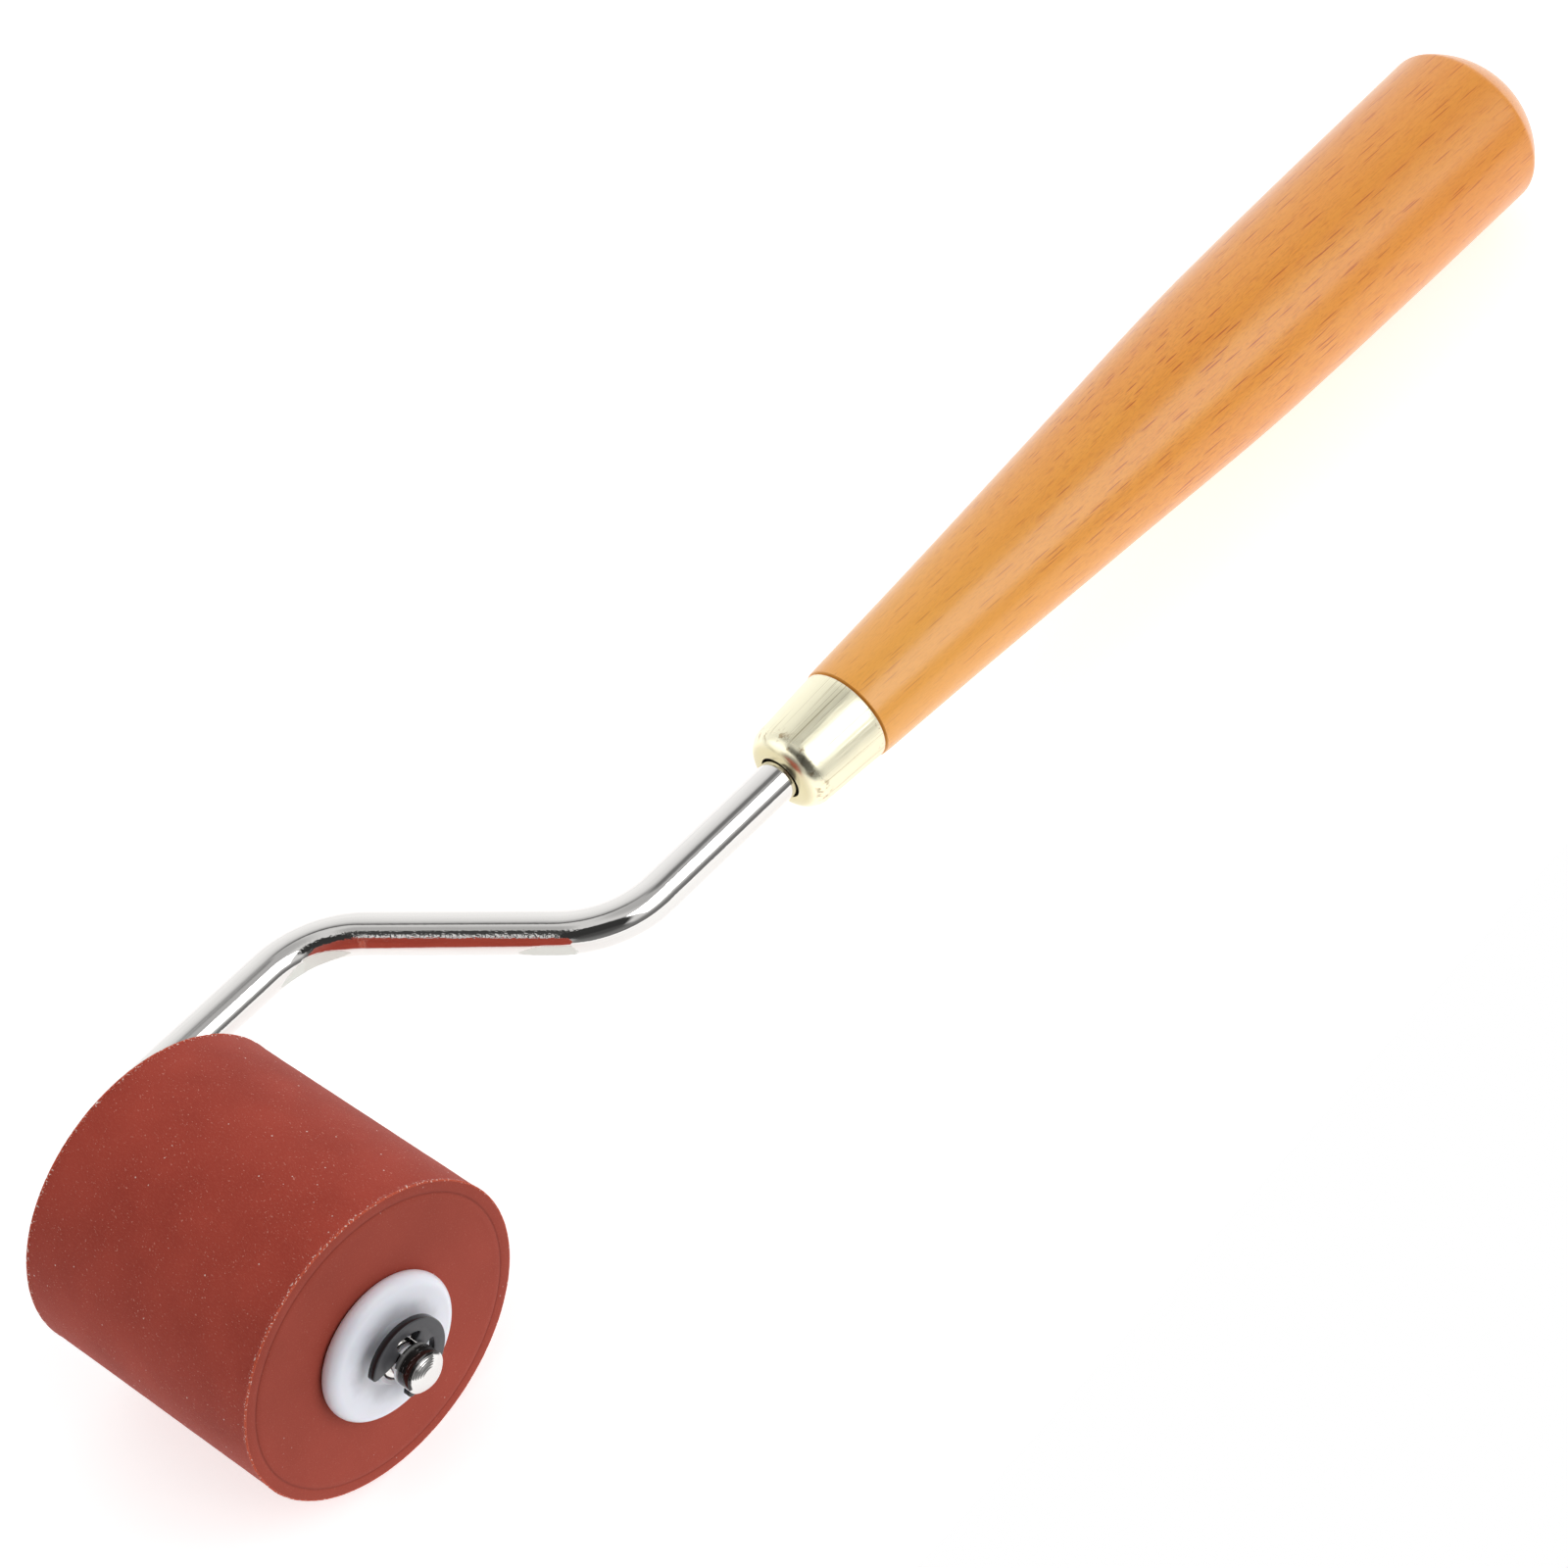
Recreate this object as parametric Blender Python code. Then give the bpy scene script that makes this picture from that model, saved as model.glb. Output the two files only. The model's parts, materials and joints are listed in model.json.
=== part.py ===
"""Seam roller: a silicone pressure roller on a cranked steel rod with a turned beech handle.

World frame, in metres, +Z up.  The tool lies as it does on a bench: the tread of the roller rests
on z = 0 at the origin, and the butt of the handle touches the same plane.  +X runs from the roller
towards the butt.  Y is the axis of the roller: the open end of the axle, with its outer clip, is at
-Y, and the crank of the rod passes round the +Y end.

Every piece is drawn in the tool's own frame first.  Its origin is the middle of the roller, the
handle's axis is X, and the cranked rod bends in its XY plane.  An empty tips that frame about the
roller's axis until the butt meets the bench.
"""
import math

import bmesh
import bpy
from mathutils import Matrix, Vector

MM = 0.001

# Gap kept between pieces that touch.
GAP = 0.3 * MM

# Roller: a silicone sleeve on a metal core, running on two flanged nylon bushes.
ROLLER_RADIUS = 22.5 * MM
ROLLER_HALF_WIDTH = 20.5 * MM
ROLLER_EDGE_RADIUS = 0.6 * MM
SLEEVE_SEAT_RADIUS = 11.0 * MM
SLEEVE_SEAT_DEPTH = 0.15 * MM
CORE_RADIUS = 9.0 * MM
CORE_BORE_RADIUS = 6.8 * MM
CORE_HALF_WIDTH = 20.2 * MM
BUSH_BODY_RADIUS = CORE_BORE_RADIUS - GAP
BUSH_BODY_END = 6.0 * MM
BUSH_BORE_RADIUS = 3.3 * MM
FLANGE_RADIUS = 10.5 * MM
FLANGE_RIM_RADIUS = 1.45 * MM
FLANGE_RIM_CENTRE = 21.65 * MM
FLANGE_DISH = 0.25 * MM
HUB_RADIUS = 4.0 * MM
HUB_FOOT_RADIUS = 4.8 * MM
HUB_END = 24.3 * MM

# Crank rod: one bright 6 mm steel bar, from the tang in the handle to the domed axle end.
ROD_RADIUS = 3.0 * MM
CRANK_TOP_X = 65.4 * MM
CRANK_FOOT_X = 41.6 * MM
CRANK_OFFSET_Y = 35.2 * MM
CRANK_BEND_RADIUS = 15.0 * MM
AXLE_BEND_RADIUS = 9.0 * MM
TANG_END_X = 150.0 * MM
TANG_CHAMFER = 0.8 * MM
AXLE_DOME_START = 28.45 * MM
AXLE_DOME_HEIGHT = 1.25 * MM
AXLE_DOME_FLAT = 1.25 * MM

# Retaining clips: one in a groove at each end of the roller.
CLIP_BACK = HUB_END + GAP
CLIP_THICKNESS = 1.1 * MM
CLIP_OUTER_RADIUS = 6.15 * MM
CLIP_SLOT_RADIUS = 4.5 * MM
CLIP_MOUTH_INNER_RADIUS = 3.1 * MM
CLIP_CORNER_RADIUS = 0.5 * MM
CLIP_MOUTH_ANGLE = 43.0
CLIP_MOUTH_INNER_ANGLE = 59.0
CLIP_JAW_ANGLE = 96.0
CLIP_SLOT_START_ANGLE = 104.0
CLIP_SLOT_END_ANGLE = 161.0
CLIP_PRONG_ANGLE = 154.0
OUTER_CLIP_TURN = 206.0
INNER_CLIP_TURN = 90.0
GROOVE_RADIUS = 2.4 * MM
GROOVE_SIDE_GAP = 0.25 * MM

# Ferrule: a drawn brass cup with a hole in its nose.
FERRULE_NOSE_X = 97.8 * MM
FERRULE_MOUTH_X = 111.35 * MM
FERRULE_NOSE_RADIUS = 6.4 * MM
FERRULE_MOUTH_RADIUS = 7.2 * MM
FERRULE_CORNER_RADIUS = 3.0 * MM
FERRULE_HOLE_RADIUS = 3.3 * MM
FERRULE_WALL = 0.7 * MM

# Handle: turned from one piece of wood, with a spigot inside the ferrule and a blind tang bore.
HANDLE_SHOULDER_X = FERRULE_MOUTH_X + GAP
HANDLE_BORE_RADIUS = ROD_RADIUS + GAP
HANDLE_BORE_END_X = TANG_END_X + 1.0 * MM
HANDLE_END_X = 257.95 * MM
HANDLE_DOME_RADIUS = 15.25 * MM
HANDLE_CORNER_RADIUS = 1.6 * MM
HANDLE_GRIP = (
    (HANDLE_SHOULDER_X, 7.4 * MM),
    (132.0 * MM, 8.5 * MM),
    (160.0 * MM, 10.2 * MM),
    (188.0 * MM, 12.0 * MM),
    (205.0 * MM, 12.6 * MM),
    (226.0 * MM, 12.95 * MM),
    (249.5 * MM, 13.2 * MM),
)

# Facets round each piece, and the turn that one facet of a bend takes.
TREAD_SIDES = 72
BUSH_SIDES = 36
CORE_SIDES = 24
HANDLE_SIDES = 40
ROD_SIDES = 20
BEND_STEP = math.radians(9.0)

X_AXIS = Vector((1.0, 0.0, 0.0))
Y_AXIS = Vector((0.0, 1.0, 0.0))
DOWN = Vector((0.0, 0.0, -1.0))


# ---------------------------------------------------------------- helpers

def clear_scene():
    for obj in list(bpy.data.objects):
        bpy.data.objects.remove(obj, do_unlink=True)


def principled(name, colour, roughness, metallic=0.0):
    material = bpy.data.materials.new(name)
    material.use_nodes = True
    shader = material.node_tree.nodes["Principled BSDF"]
    shader.inputs["Base Color"].default_value = (*colour, 1.0)
    shader.inputs["Roughness"].default_value = roughness
    shader.inputs["Metallic"].default_value = metallic
    material.diffuse_color = (*colour, 1.0)
    return material


def empty(name, matrix):
    obj = bpy.data.objects.new(name, None)
    obj.matrix_world = matrix
    bpy.context.collection.objects.link(obj)
    return obj


def piece(name, bm, material, parent):
    """Turn a bmesh into a named object on its parent empty, smooth except at real edges."""
    bmesh.ops.recalc_face_normals(bm, faces=bm.faces)
    mesh = bpy.data.meshes.new(name)
    bm.to_mesh(mesh)
    bm.free()
    mesh.shade_smooth()
    mesh.set_sharp_from_angle(angle=math.radians(32.0))
    mesh.materials.append(material)
    obj = bpy.data.objects.new(name, mesh)
    obj.parent = parent
    bpy.context.collection.objects.link(obj)
    return obj


def arc(centre, radius, start, end, steps):
    """Points of a plane arc between two angles in degrees, both ends included."""
    turns = (math.radians(start + (end - start) * i / steps) for i in range(steps + 1))
    return [(centre[0] + radius * math.cos(t), centre[1] + radius * math.sin(t)) for t in turns]


def filleted(corners, radii, step=BEND_STEP):
    """Open polyline through plane corners, each inner corner rounded by an arc of its radius."""
    corners = [Vector(corner) for corner in corners]
    points = [corners[0]]
    for before, corner, after, radius in zip(corners, corners[1:], corners[2:], radii):
        to_before = (before - corner).normalized()
        to_after = (after - corner).normalized()
        half = to_before.angle(to_after) / 2
        turn = math.pi - 2 * half
        centre = corner + (to_before + to_after).normalized() * radius / math.sin(half)
        first = corner + to_before * radius / math.tan(half) - centre
        side = math.copysign(1.0, to_before.x * to_after.y - to_before.y * to_after.x)
        steps = max(2, math.ceil(turn / step))
        for i in range(steps + 1):
            points.append(centre + Matrix.Rotation(-side * turn * i / steps, 2) @ first)
    points.append(corners[-1])
    return [tuple(point) for point in points]


def smooth_through(points, steps):
    """Catmull-Rom curve through plane points, with the given steps between neighbours."""
    points = [Vector(point) for point in points]
    padded = [2 * points[0] - points[1], *points, 2 * points[-1] - points[-2]]
    curve = []
    for p0, p1, p2, p3 in zip(padded, padded[1:], padded[2:], padded[3:]):
        for i in range(steps):
            t = i / steps
            curve.append(0.5 * (2 * p1 + (p2 - p0) * t + (2 * p0 - 5 * p1 + 4 * p2 - p3) * t ** 2
                                + (3 * p1 - p0 - 3 * p2 + p3) * t ** 3))
    curve.append(points[-1])
    return [tuple(point) for point in curve]


def turned(outline, axis, sides, closed):
    """Spin an outline of (along, radius) points about an axis through the origin.

    The flats, not the corners, lie at the given radii, and one flat faces straight down.  A closed
    outline makes a ring; an open one starts and ends on the axis.
    """
    half_step = math.pi / sides
    outward = Matrix.Rotation(half_step, 3, axis) @ DOWN / math.cos(half_step)
    bm = bmesh.new()
    verts = [bm.verts.new(axis * along + outward * radius) for along, radius in outline]
    edges = [bm.edges.new(pair) for pair in zip(verts, verts[1:])]
    if closed:
        edges.append(bm.edges.new((verts[-1], verts[0])))
    bmesh.ops.spin(bm, geom=verts + edges, cent=(0, 0, 0), axis=axis, dvec=(0, 0, 0),
                   angle=math.tau, steps=sides, use_merge=True)
    bmesh.ops.remove_doubles(bm, verts=bm.verts, dist=0.001 * MM)
    return bm


def swept(stations, sides):
    """Round bar through (point, radius) stations in the XY plane, with flat caps at both ends."""
    points = [Vector((*point, 0.0)) for point, _ in stations]
    runs = [b - a for a, b in zip(points, points[1:])]
    bm = bmesh.new()
    rings = []
    for i, (_, radius) in enumerate(stations):
        nearby = [run.normalized() for run in runs[max(i - 1, 0):i + 1] if run.length > 0.001 * MM]
        across = sum(nearby, Vector()).normalized().cross(DOWN)
        corner = radius / math.cos(math.pi / sides)
        turns = (math.tau * k / sides for k in range(sides))
        rings.append([bm.verts.new(points[i] + corner * (across * math.cos(t) - DOWN * math.sin(t)))
                      for t in turns])
    for ring, following in zip(rings, rings[1:]):
        for k in range(sides):
            j = (k + 1) % sides
            bm.faces.new((ring[k], ring[j], following[j], following[k]))
    bm.faces.new(rings[0])
    bm.faces.new(rings[-1])
    return bm


# ---------------------------------------------------------------- roller

def sleeve_outline():
    """Closed section of the silicone sleeve, as (along Y, radius).

    Each end face is sunk a little round the bore, where the flange of the bush sits.
    """
    bore = CORE_RADIUS + GAP
    seat = ROLLER_HALF_WIDTH - SLEEVE_SEAT_DEPTH
    edge = ROLLER_EDGE_RADIUS
    along = ROLLER_HALF_WIDTH - edge
    radius = ROLLER_RADIUS - edge
    return [(-seat, bore),
            (-seat, SLEEVE_SEAT_RADIUS),
            (-ROLLER_HALF_WIDTH, SLEEVE_SEAT_RADIUS),
            *arc((-along, radius), edge, 180, 90, 3),
            *arc((along, radius), edge, 90, 0, 3),
            (ROLLER_HALF_WIDTH, SLEEVE_SEAT_RADIUS),
            (seat, SLEEVE_SEAT_RADIUS),
            (seat, bore)]


def core_outline():
    return [(-CORE_HALF_WIDTH, CORE_BORE_RADIUS), (-CORE_HALF_WIDTH, CORE_RADIUS),
            (CORE_HALF_WIDTH, CORE_RADIUS), (CORE_HALF_WIDTH, CORE_BORE_RADIUS)]


def bush_outline(side):
    """Closed section of a flanged bush on one side of the roller: body, round rim, dish and hub."""
    rim_centre = (FLANGE_RIM_CENTRE, FLANGE_RADIUS - FLANGE_RIM_RADIUS)
    flange_back = ROLLER_HALF_WIDTH + GAP
    flange_front = FLANGE_RIM_CENTRE + FLANGE_RIM_RADIUS
    back_angle = 90 + math.degrees(math.asin((FLANGE_RIM_CENTRE - flange_back) / FLANGE_RIM_RADIUS))
    section = [(BUSH_BODY_END, BUSH_BORE_RADIUS),
               (BUSH_BODY_END, BUSH_BODY_RADIUS),
               (flange_back, BUSH_BODY_RADIUS),
               *arc(rim_centre, FLANGE_RIM_RADIUS, back_angle, 0, 7),
               (flange_front - FLANGE_DISH, HUB_FOOT_RADIUS),
               (flange_front, HUB_RADIUS + 0.25 * (HUB_FOOT_RADIUS - HUB_RADIUS)),
               (HUB_END, HUB_RADIUS),
               (HUB_END, BUSH_BORE_RADIUS)]
    return [(side * along, radius) for along, radius in section]


def make_roller(materials, axis_empty):
    sleeve = turned(sleeve_outline(), Y_AXIS, TREAD_SIDES, closed=True)
    piece("silicone_tyre", sleeve, materials["silicone"], axis_empty)
    core = turned(core_outline(), Y_AXIS, CORE_SIDES, closed=True)
    piece("core_tube", core, materials["aluminium"], axis_empty)
    for name, side in (("outer_bush", -1), ("inner_bush", 1)):
        bush = turned(bush_outline(side), Y_AXIS, BUSH_SIDES, closed=True)
        piece(name, bush, materials["nylon"], axis_empty)


# ---------------------------------------------------------------- crank rod

def groove_stations(side):
    """Steps down into and up out of a clip groove, ordered towards -Y."""
    low = CLIP_BACK - GROOVE_SIDE_GAP
    high = CLIP_BACK + CLIP_THICKNESS + GROOVE_SIDE_GAP
    first, last = (high, low) if side > 0 else (-low, -high)
    return [((0.0, first), ROD_RADIUS), ((0.0, first), GROOVE_RADIUS),
            ((0.0, last), GROOVE_RADIUS), ((0.0, last), ROD_RADIUS)]


def dome_stations():
    """Cap of a sphere on the open end of the axle, ending in a small flat."""
    sphere = (ROD_RADIUS ** 2 + AXLE_DOME_HEIGHT ** 2) / (2 * AXLE_DOME_HEIGHT)
    centre = AXLE_DOME_START + AXLE_DOME_HEIGHT - sphere
    steps = 4
    radii = [ROD_RADIUS + (AXLE_DOME_FLAT - ROD_RADIUS) * i / steps for i in range(steps + 1)]
    return [((0.0, -centre - math.sqrt(sphere ** 2 - r ** 2)), r) for r in radii]


def crank_stations():
    """Centreline points and radii of the rod, from the tang to the open end of the axle."""
    path = filleted([(TANG_END_X, 0.0), (CRANK_TOP_X, 0.0), (CRANK_FOOT_X, CRANK_OFFSET_Y),
                     (0.0, CRANK_OFFSET_Y), (0.0, 0.0)],
                    [CRANK_BEND_RADIUS, CRANK_BEND_RADIUS, AXLE_BEND_RADIUS])
    bends = [(point, ROD_RADIUS) for point in path[1:-1]]
    tang = [((TANG_END_X, 0.0), ROD_RADIUS - TANG_CHAMFER),
            ((TANG_END_X - TANG_CHAMFER, 0.0), ROD_RADIUS)]
    return [*tang, *bends, *groove_stations(1), *groove_stations(-1), *dome_stations()]


# ---------------------------------------------------------------- clips

def clip_outline(turn):
    """Outline of an E-shaped retaining clip in (x, z), its mouth turned to the given angle.

    Three prongs reach in to the groove: one opposite the mouth and one on each jaw.
    """
    prong = GROOVE_RADIUS + GAP

    def half(sign):
        """Inner edge of one jaw, from the mouth round to the middle of the far prong."""
        return [*arc((0, 0), prong, turn + sign * (CLIP_MOUTH_INNER_ANGLE + 4),
                     turn + sign * CLIP_JAW_ANGLE, 3),
                *arc((0, 0), CLIP_SLOT_RADIUS, turn + sign * CLIP_SLOT_START_ANGLE,
                     turn + sign * CLIP_SLOT_END_ANGLE, 5),
                *arc((0, 0), prong, turn + sign * CLIP_PRONG_ANGLE, turn + sign * 180, 2)]

    def mouth_edge(sign):
        """Slanted end of one jaw, with its outer corner broken, from inside to outside."""
        inner = arc((0, 0), CLIP_MOUTH_INNER_RADIUS, turn + sign * CLIP_MOUTH_INNER_ANGLE, turn, 1)[0]
        outer = arc((0, 0), CLIP_OUTER_RADIUS, turn + sign * CLIP_MOUTH_ANGLE, turn, 1)[0]
        inner, outer = Vector(inner), Vector(outer)
        cut = outer + (inner - outer).normalized() * CLIP_CORNER_RADIUS
        return [tuple(inner), tuple(cut)]

    inside = half(1) + half(-1)[-2::-1]
    corner = math.degrees(CLIP_CORNER_RADIUS / CLIP_OUTER_RADIUS)
    rim = arc((0, 0), CLIP_OUTER_RADIUS, turn - CLIP_MOUTH_ANGLE - corner,
              turn - 360 + CLIP_MOUTH_ANGLE + corner, 24)
    return [*inside, *mouth_edge(-1), *rim, *reversed(mouth_edge(1))]


def clip_body(turn, side):
    bm = bmesh.new()
    start = side * CLIP_BACK
    face = bm.faces.new([bm.verts.new((x, start, z)) for x, z in clip_outline(turn)])
    grown = bmesh.ops.extrude_face_region(bm, geom=[face])
    moved = [item for item in grown["geom"] if isinstance(item, bmesh.types.BMVert)]
    bmesh.ops.translate(bm, verts=moved, vec=Y_AXIS * side * CLIP_THICKNESS)
    return bm


# ---------------------------------------------------------------- ferrule and handle

def ferrule_radius(x):
    """Outer radius of the cup's conical wall."""
    along = (x - FERRULE_NOSE_X) / (FERRULE_MOUTH_X - FERRULE_NOSE_X)
    return FERRULE_NOSE_RADIUS + along * (FERRULE_MOUTH_RADIUS - FERRULE_NOSE_RADIUS)


def cup_line(start_radius, inset):
    """Nose, rounded corner and wall of the cup, set in from its outer skin."""
    nose = FERRULE_NOSE_X + inset
    return filleted([(nose, start_radius), (nose, ferrule_radius(nose) - inset),
                     (FERRULE_MOUTH_X, FERRULE_MOUTH_RADIUS - inset)],
                    [FERRULE_CORNER_RADIUS - inset], step=math.radians(20))


def ferrule_outline():
    outer = cup_line(FERRULE_HOLE_RADIUS, 0.0)
    inner = cup_line(FERRULE_HOLE_RADIUS, FERRULE_WALL)
    return outer + inner[::-1]


def grip_outline():
    """Outer line of the handle, from its shoulder to the axis at the butt."""
    grip = smooth_through(HANDLE_GRIP, 3)
    corner_y = HANDLE_GRIP[-1][1] - HANDLE_CORNER_RADIUS
    dome_centre = HANDLE_END_X - HANDLE_DOME_RADIUS
    reach = HANDLE_DOME_RADIUS - HANDLE_CORNER_RADIUS
    corner_x = dome_centre + math.sqrt(reach ** 2 - corner_y ** 2)
    meet = math.degrees(math.asin(corner_y / reach))
    corner = arc((corner_x, corner_y), HANDLE_CORNER_RADIUS, 90, meet, 2)
    dome = arc((dome_centre, 0.0), HANDLE_DOME_RADIUS, meet, 0, 6)
    return [*grip, *corner[1:], *dome[1:-1], (HANDLE_END_X, 0.0)]


def handle_outline():
    spigot = cup_line(HANDLE_BORE_RADIUS, FERRULE_WALL + GAP)
    foot = (HANDLE_SHOULDER_X, spigot[-1][1])
    return [(HANDLE_BORE_END_X, 0.0), (HANDLE_BORE_END_X, HANDLE_BORE_RADIUS),
            *spigot[:-1], foot, *grip_outline()]


def make_frame(materials, tool_empty):
    handle = turned(handle_outline(), X_AXIS, HANDLE_SIDES, closed=False)
    piece("handle", handle, materials["beech"], tool_empty)
    ferrule = turned(ferrule_outline(), X_AXIS, HANDLE_SIDES, closed=True)
    piece("ferrule", ferrule, materials["brass"], tool_empty)
    rod = swept(crank_stations(), ROD_SIDES)
    piece("crank_rod", rod, materials["bright_steel"], tool_empty)
    for name, turn, side in (("outer_clip", OUTER_CLIP_TURN, -1), ("inner_clip", INNER_CLIP_TURN, 1)):
        piece(name, clip_body(turn, side), materials["black_steel"], tool_empty)


# ---------------------------------------------------------------- assembly

def rest_tilt():
    """Smallest turn about the roller's axis that brings a ring of the handle down to the bench."""
    return min(math.asin(ROLLER_RADIUS / math.hypot(x, r)) - math.atan2(r, x)
               for x, r in grip_outline())


def make_materials():
    return {
        "silicone": principled("silicone", (0.30, 0.055, 0.035), 0.75),
        "aluminium": principled("aluminium", (0.80, 0.80, 0.82), 0.35, 1.0),
        "nylon": principled("nylon", (0.80, 0.81, 0.84), 0.30),
        "bright_steel": principled("bright_steel", (0.75, 0.74, 0.72), 0.12, 1.0),
        "black_steel": principled("black_steel", (0.025, 0.025, 0.028), 0.40, 0.3),
        "brass": principled("brass", (0.83, 0.74, 0.42), 0.22, 1.0),
        "beech": principled("beech", (0.80, 0.38, 0.10), 0.38),
    }


def main():
    clear_scene()
    materials = make_materials()
    centre = Matrix.Translation((0.0, 0.0, ROLLER_RADIUS))
    roller_axis = empty("roller_axis", centre)
    tool_frame = empty("tool_frame", centre @ Matrix.Rotation(rest_tilt(), 4, "Y"))
    make_roller(materials, roller_axis)
    make_frame(materials, tool_frame)


main()
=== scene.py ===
"""Looks of the seam roller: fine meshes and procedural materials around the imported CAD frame.

Lengths are in metres.  The roller's pieces are turned about the roller's own axis.  The rod, ferrule,
handle and clips are drawn in the tool's frame, as in the CAD: its origin is the middle of the roller,
X is the handle's axis, and the rod bends in the XY plane.  That frame is tipped about the roller's
axis until the butt of the handle meets the floor.
"""

import json
import math

import bmesh
import bpy
from mathutils import Matrix, Vector, noise


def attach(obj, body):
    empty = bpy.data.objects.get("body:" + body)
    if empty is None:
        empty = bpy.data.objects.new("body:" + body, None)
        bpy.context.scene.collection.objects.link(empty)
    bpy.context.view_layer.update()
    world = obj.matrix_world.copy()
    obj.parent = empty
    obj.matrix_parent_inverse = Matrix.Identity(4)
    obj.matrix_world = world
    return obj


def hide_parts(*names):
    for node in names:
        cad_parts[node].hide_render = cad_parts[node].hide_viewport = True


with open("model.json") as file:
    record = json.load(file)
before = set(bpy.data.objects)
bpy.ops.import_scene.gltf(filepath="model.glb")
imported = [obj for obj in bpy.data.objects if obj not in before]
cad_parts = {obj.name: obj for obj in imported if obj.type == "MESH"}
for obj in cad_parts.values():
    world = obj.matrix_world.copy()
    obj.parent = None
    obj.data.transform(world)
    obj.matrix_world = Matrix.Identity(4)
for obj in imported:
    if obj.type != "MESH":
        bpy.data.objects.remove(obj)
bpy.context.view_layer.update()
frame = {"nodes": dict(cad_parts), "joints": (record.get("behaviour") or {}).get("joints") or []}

MM = 0.001
X_AXIS = Vector((1.0, 0.0, 0.0))
Y_AXIS = Vector((0.0, 1.0, 0.0))
UP = Vector((0.0, 0.0, 1.0))
AXLE_CENTRE = Vector(frame["joints"][0]["pos_m"])
SHARP_ANGLE = math.radians(35)

# Roller.
TREAD_RADIUS = 22.42 * MM
LIP_RADIUS = 22.5 * MM
LIP_WIDTH = 0.22 * MM
ROLLER_HALF_WIDTH = 20.5 * MM
RING_RADIUS = 20.75 * MM
RING_WIDTH = 0.20 * MM
RING_DEPTH = 0.09 * MM
SEAT_RADIUS = 9.9 * MM
SEAT_DEPTH = 0.15 * MM
SLEEVE_BORE_RADIUS = 9.3 * MM
TREAD_SIDES = 400
TREAD_STEP = 0.45 * MM

# Bushes.
BUSH_BODY_RADIUS = 6.5 * MM
BUSH_BODY_END = 6.0 * MM
BUSH_BORE_RADIUS = 3.3 * MM
FLANGE_BACK = 20.8 * MM
FLANGE_RADIUS = 10.5 * MM
FLANGE_RIM_RADIUS = 1.45 * MM
FLANGE_RIM_CENTRE = 21.65 * MM
FLANGE_DISH = 0.25 * MM
FLANGE_FLAT_RADIUS = 7.2 * MM
HUB_RADIUS = 4.0 * MM
HUB_FOOT_RADIUS = 4.8 * MM
HUB_END = 24.3 * MM
# Painted shade round the hub, standing in for the clip's shadow, lies between these radii.
CLIP_SHADE_INNER_RADIUS = 6.6 * MM
CLIP_SHADE_OUTER_RADIUS = 9.4 * MM
BUSH_SIDES = 180

# Crank rod.
ROD_RADIUS = 3.0 * MM
CRANK_TOP_X = 65.4 * MM
CRANK_FOOT_X = 41.6 * MM
CRANK_OFFSET_Y = 35.2 * MM
CRANK_BEND_RADIUS = 15.0 * MM
AXLE_BEND_RADIUS = 9.0 * MM
TANG_END_X = 150.0 * MM
TANG_CHAMFER = 0.8 * MM
AXLE_DOME_START = 28.45 * MM
AXLE_DOME_HEIGHT = 1.25 * MM
AXLE_DOME_FLAT = 1.25 * MM
DOME_STEPS = 36
FLAT_STEPS = 8
TURNING_DEPTH = 0.02 * MM
ROD_SIDES = 120
ROD_STEP = 0.35 * MM
# Degrees round the bar between which it is pitted between the bends, or carries a painted dark
# reflection at its end.
PITTED_TURNS = (38.0, 54.0)
DARK_REFLECTION_TURNS = (40.0, 180.0)
PRESS_DEPTH = 0.30 * MM
FROST_EDGE = 0.03 * MM
BEND_ONE_MIDDLE = (60.9 * MM, 6.6 * MM)
BEND_TWO_MIDDLE = (40.67 * MM, 33.44 * MM)
# Marks of the bending tool, along the bar from the middle of the first bend or from a ridge just
# past the second: (start, end, rise, fall, direction in degrees round the bar).
RIDGE_PAST_BEND = 2.8 * MM
BEND_MARK = (-1.7 * MM, 1.0 * MM, 0.8 * MM, 5.0 * MM, -12.0)
RIDGE_MARKS = ((-2.0 * MM, -0.1 * MM, 7.0 * MM, 0.3 * MM, -5.0),
               (0.1 * MM, 0.4 * MM, 0.3 * MM, 5.5 * MM, -12.0))

# Clips.
CLIP_BACK = 24.6 * MM
CLIP_THICKNESS = 1.1 * MM
CLIP_FRONT = CLIP_BACK + CLIP_THICKNESS
CLIP_OUTER_RADIUS = 6.15 * MM
CLIP_SLOT_RADIUS = 4.3 * MM
CLIP_PRONG_RADIUS = 2.7 * MM
CLIP_MOUTH_INNER_RADIUS = 3.1 * MM
CLIP_CORNER_RADIUS = 0.5 * MM
CLIP_EDGE_RADIUS = 0.2 * MM
CLIP_ROUNDING = 0.5 * MM
CLIP_MOUTH_ANGLE = 43.0
CLIP_MOUTH_INNER_ANGLE = 59.0
CLIP_JAW_ANGLE = 96.0
CLIP_SLOT_START_ANGLE = 104.0
CLIP_SLOT_END_ANGLE = 161.0
CLIP_PRONG_ANGLE = 154.0
OUTER_CLIP_TURN = 206.0
INNER_CLIP_TURN = 90.0
GROOVE_RADIUS = 2.4 * MM
GROOVE_SIDE_GAP = 0.25 * MM

# Ferrule.
FERRULE_NOSE_X = 97.8 * MM
FERRULE_MOUTH_X = 111.35 * MM
FERRULE_NOSE_RADIUS = 6.4 * MM
FERRULE_MOUTH_RADIUS = 7.2 * MM
FERRULE_CORNER_RADIUS = 3.0 * MM
FERRULE_HOLE_RADIUS = 3.3 * MM
FERRULE_LIP_RADIUS = 0.15 * MM
FERRULE_WALL = 0.7 * MM
FERRULE_SIDES = 240

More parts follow.
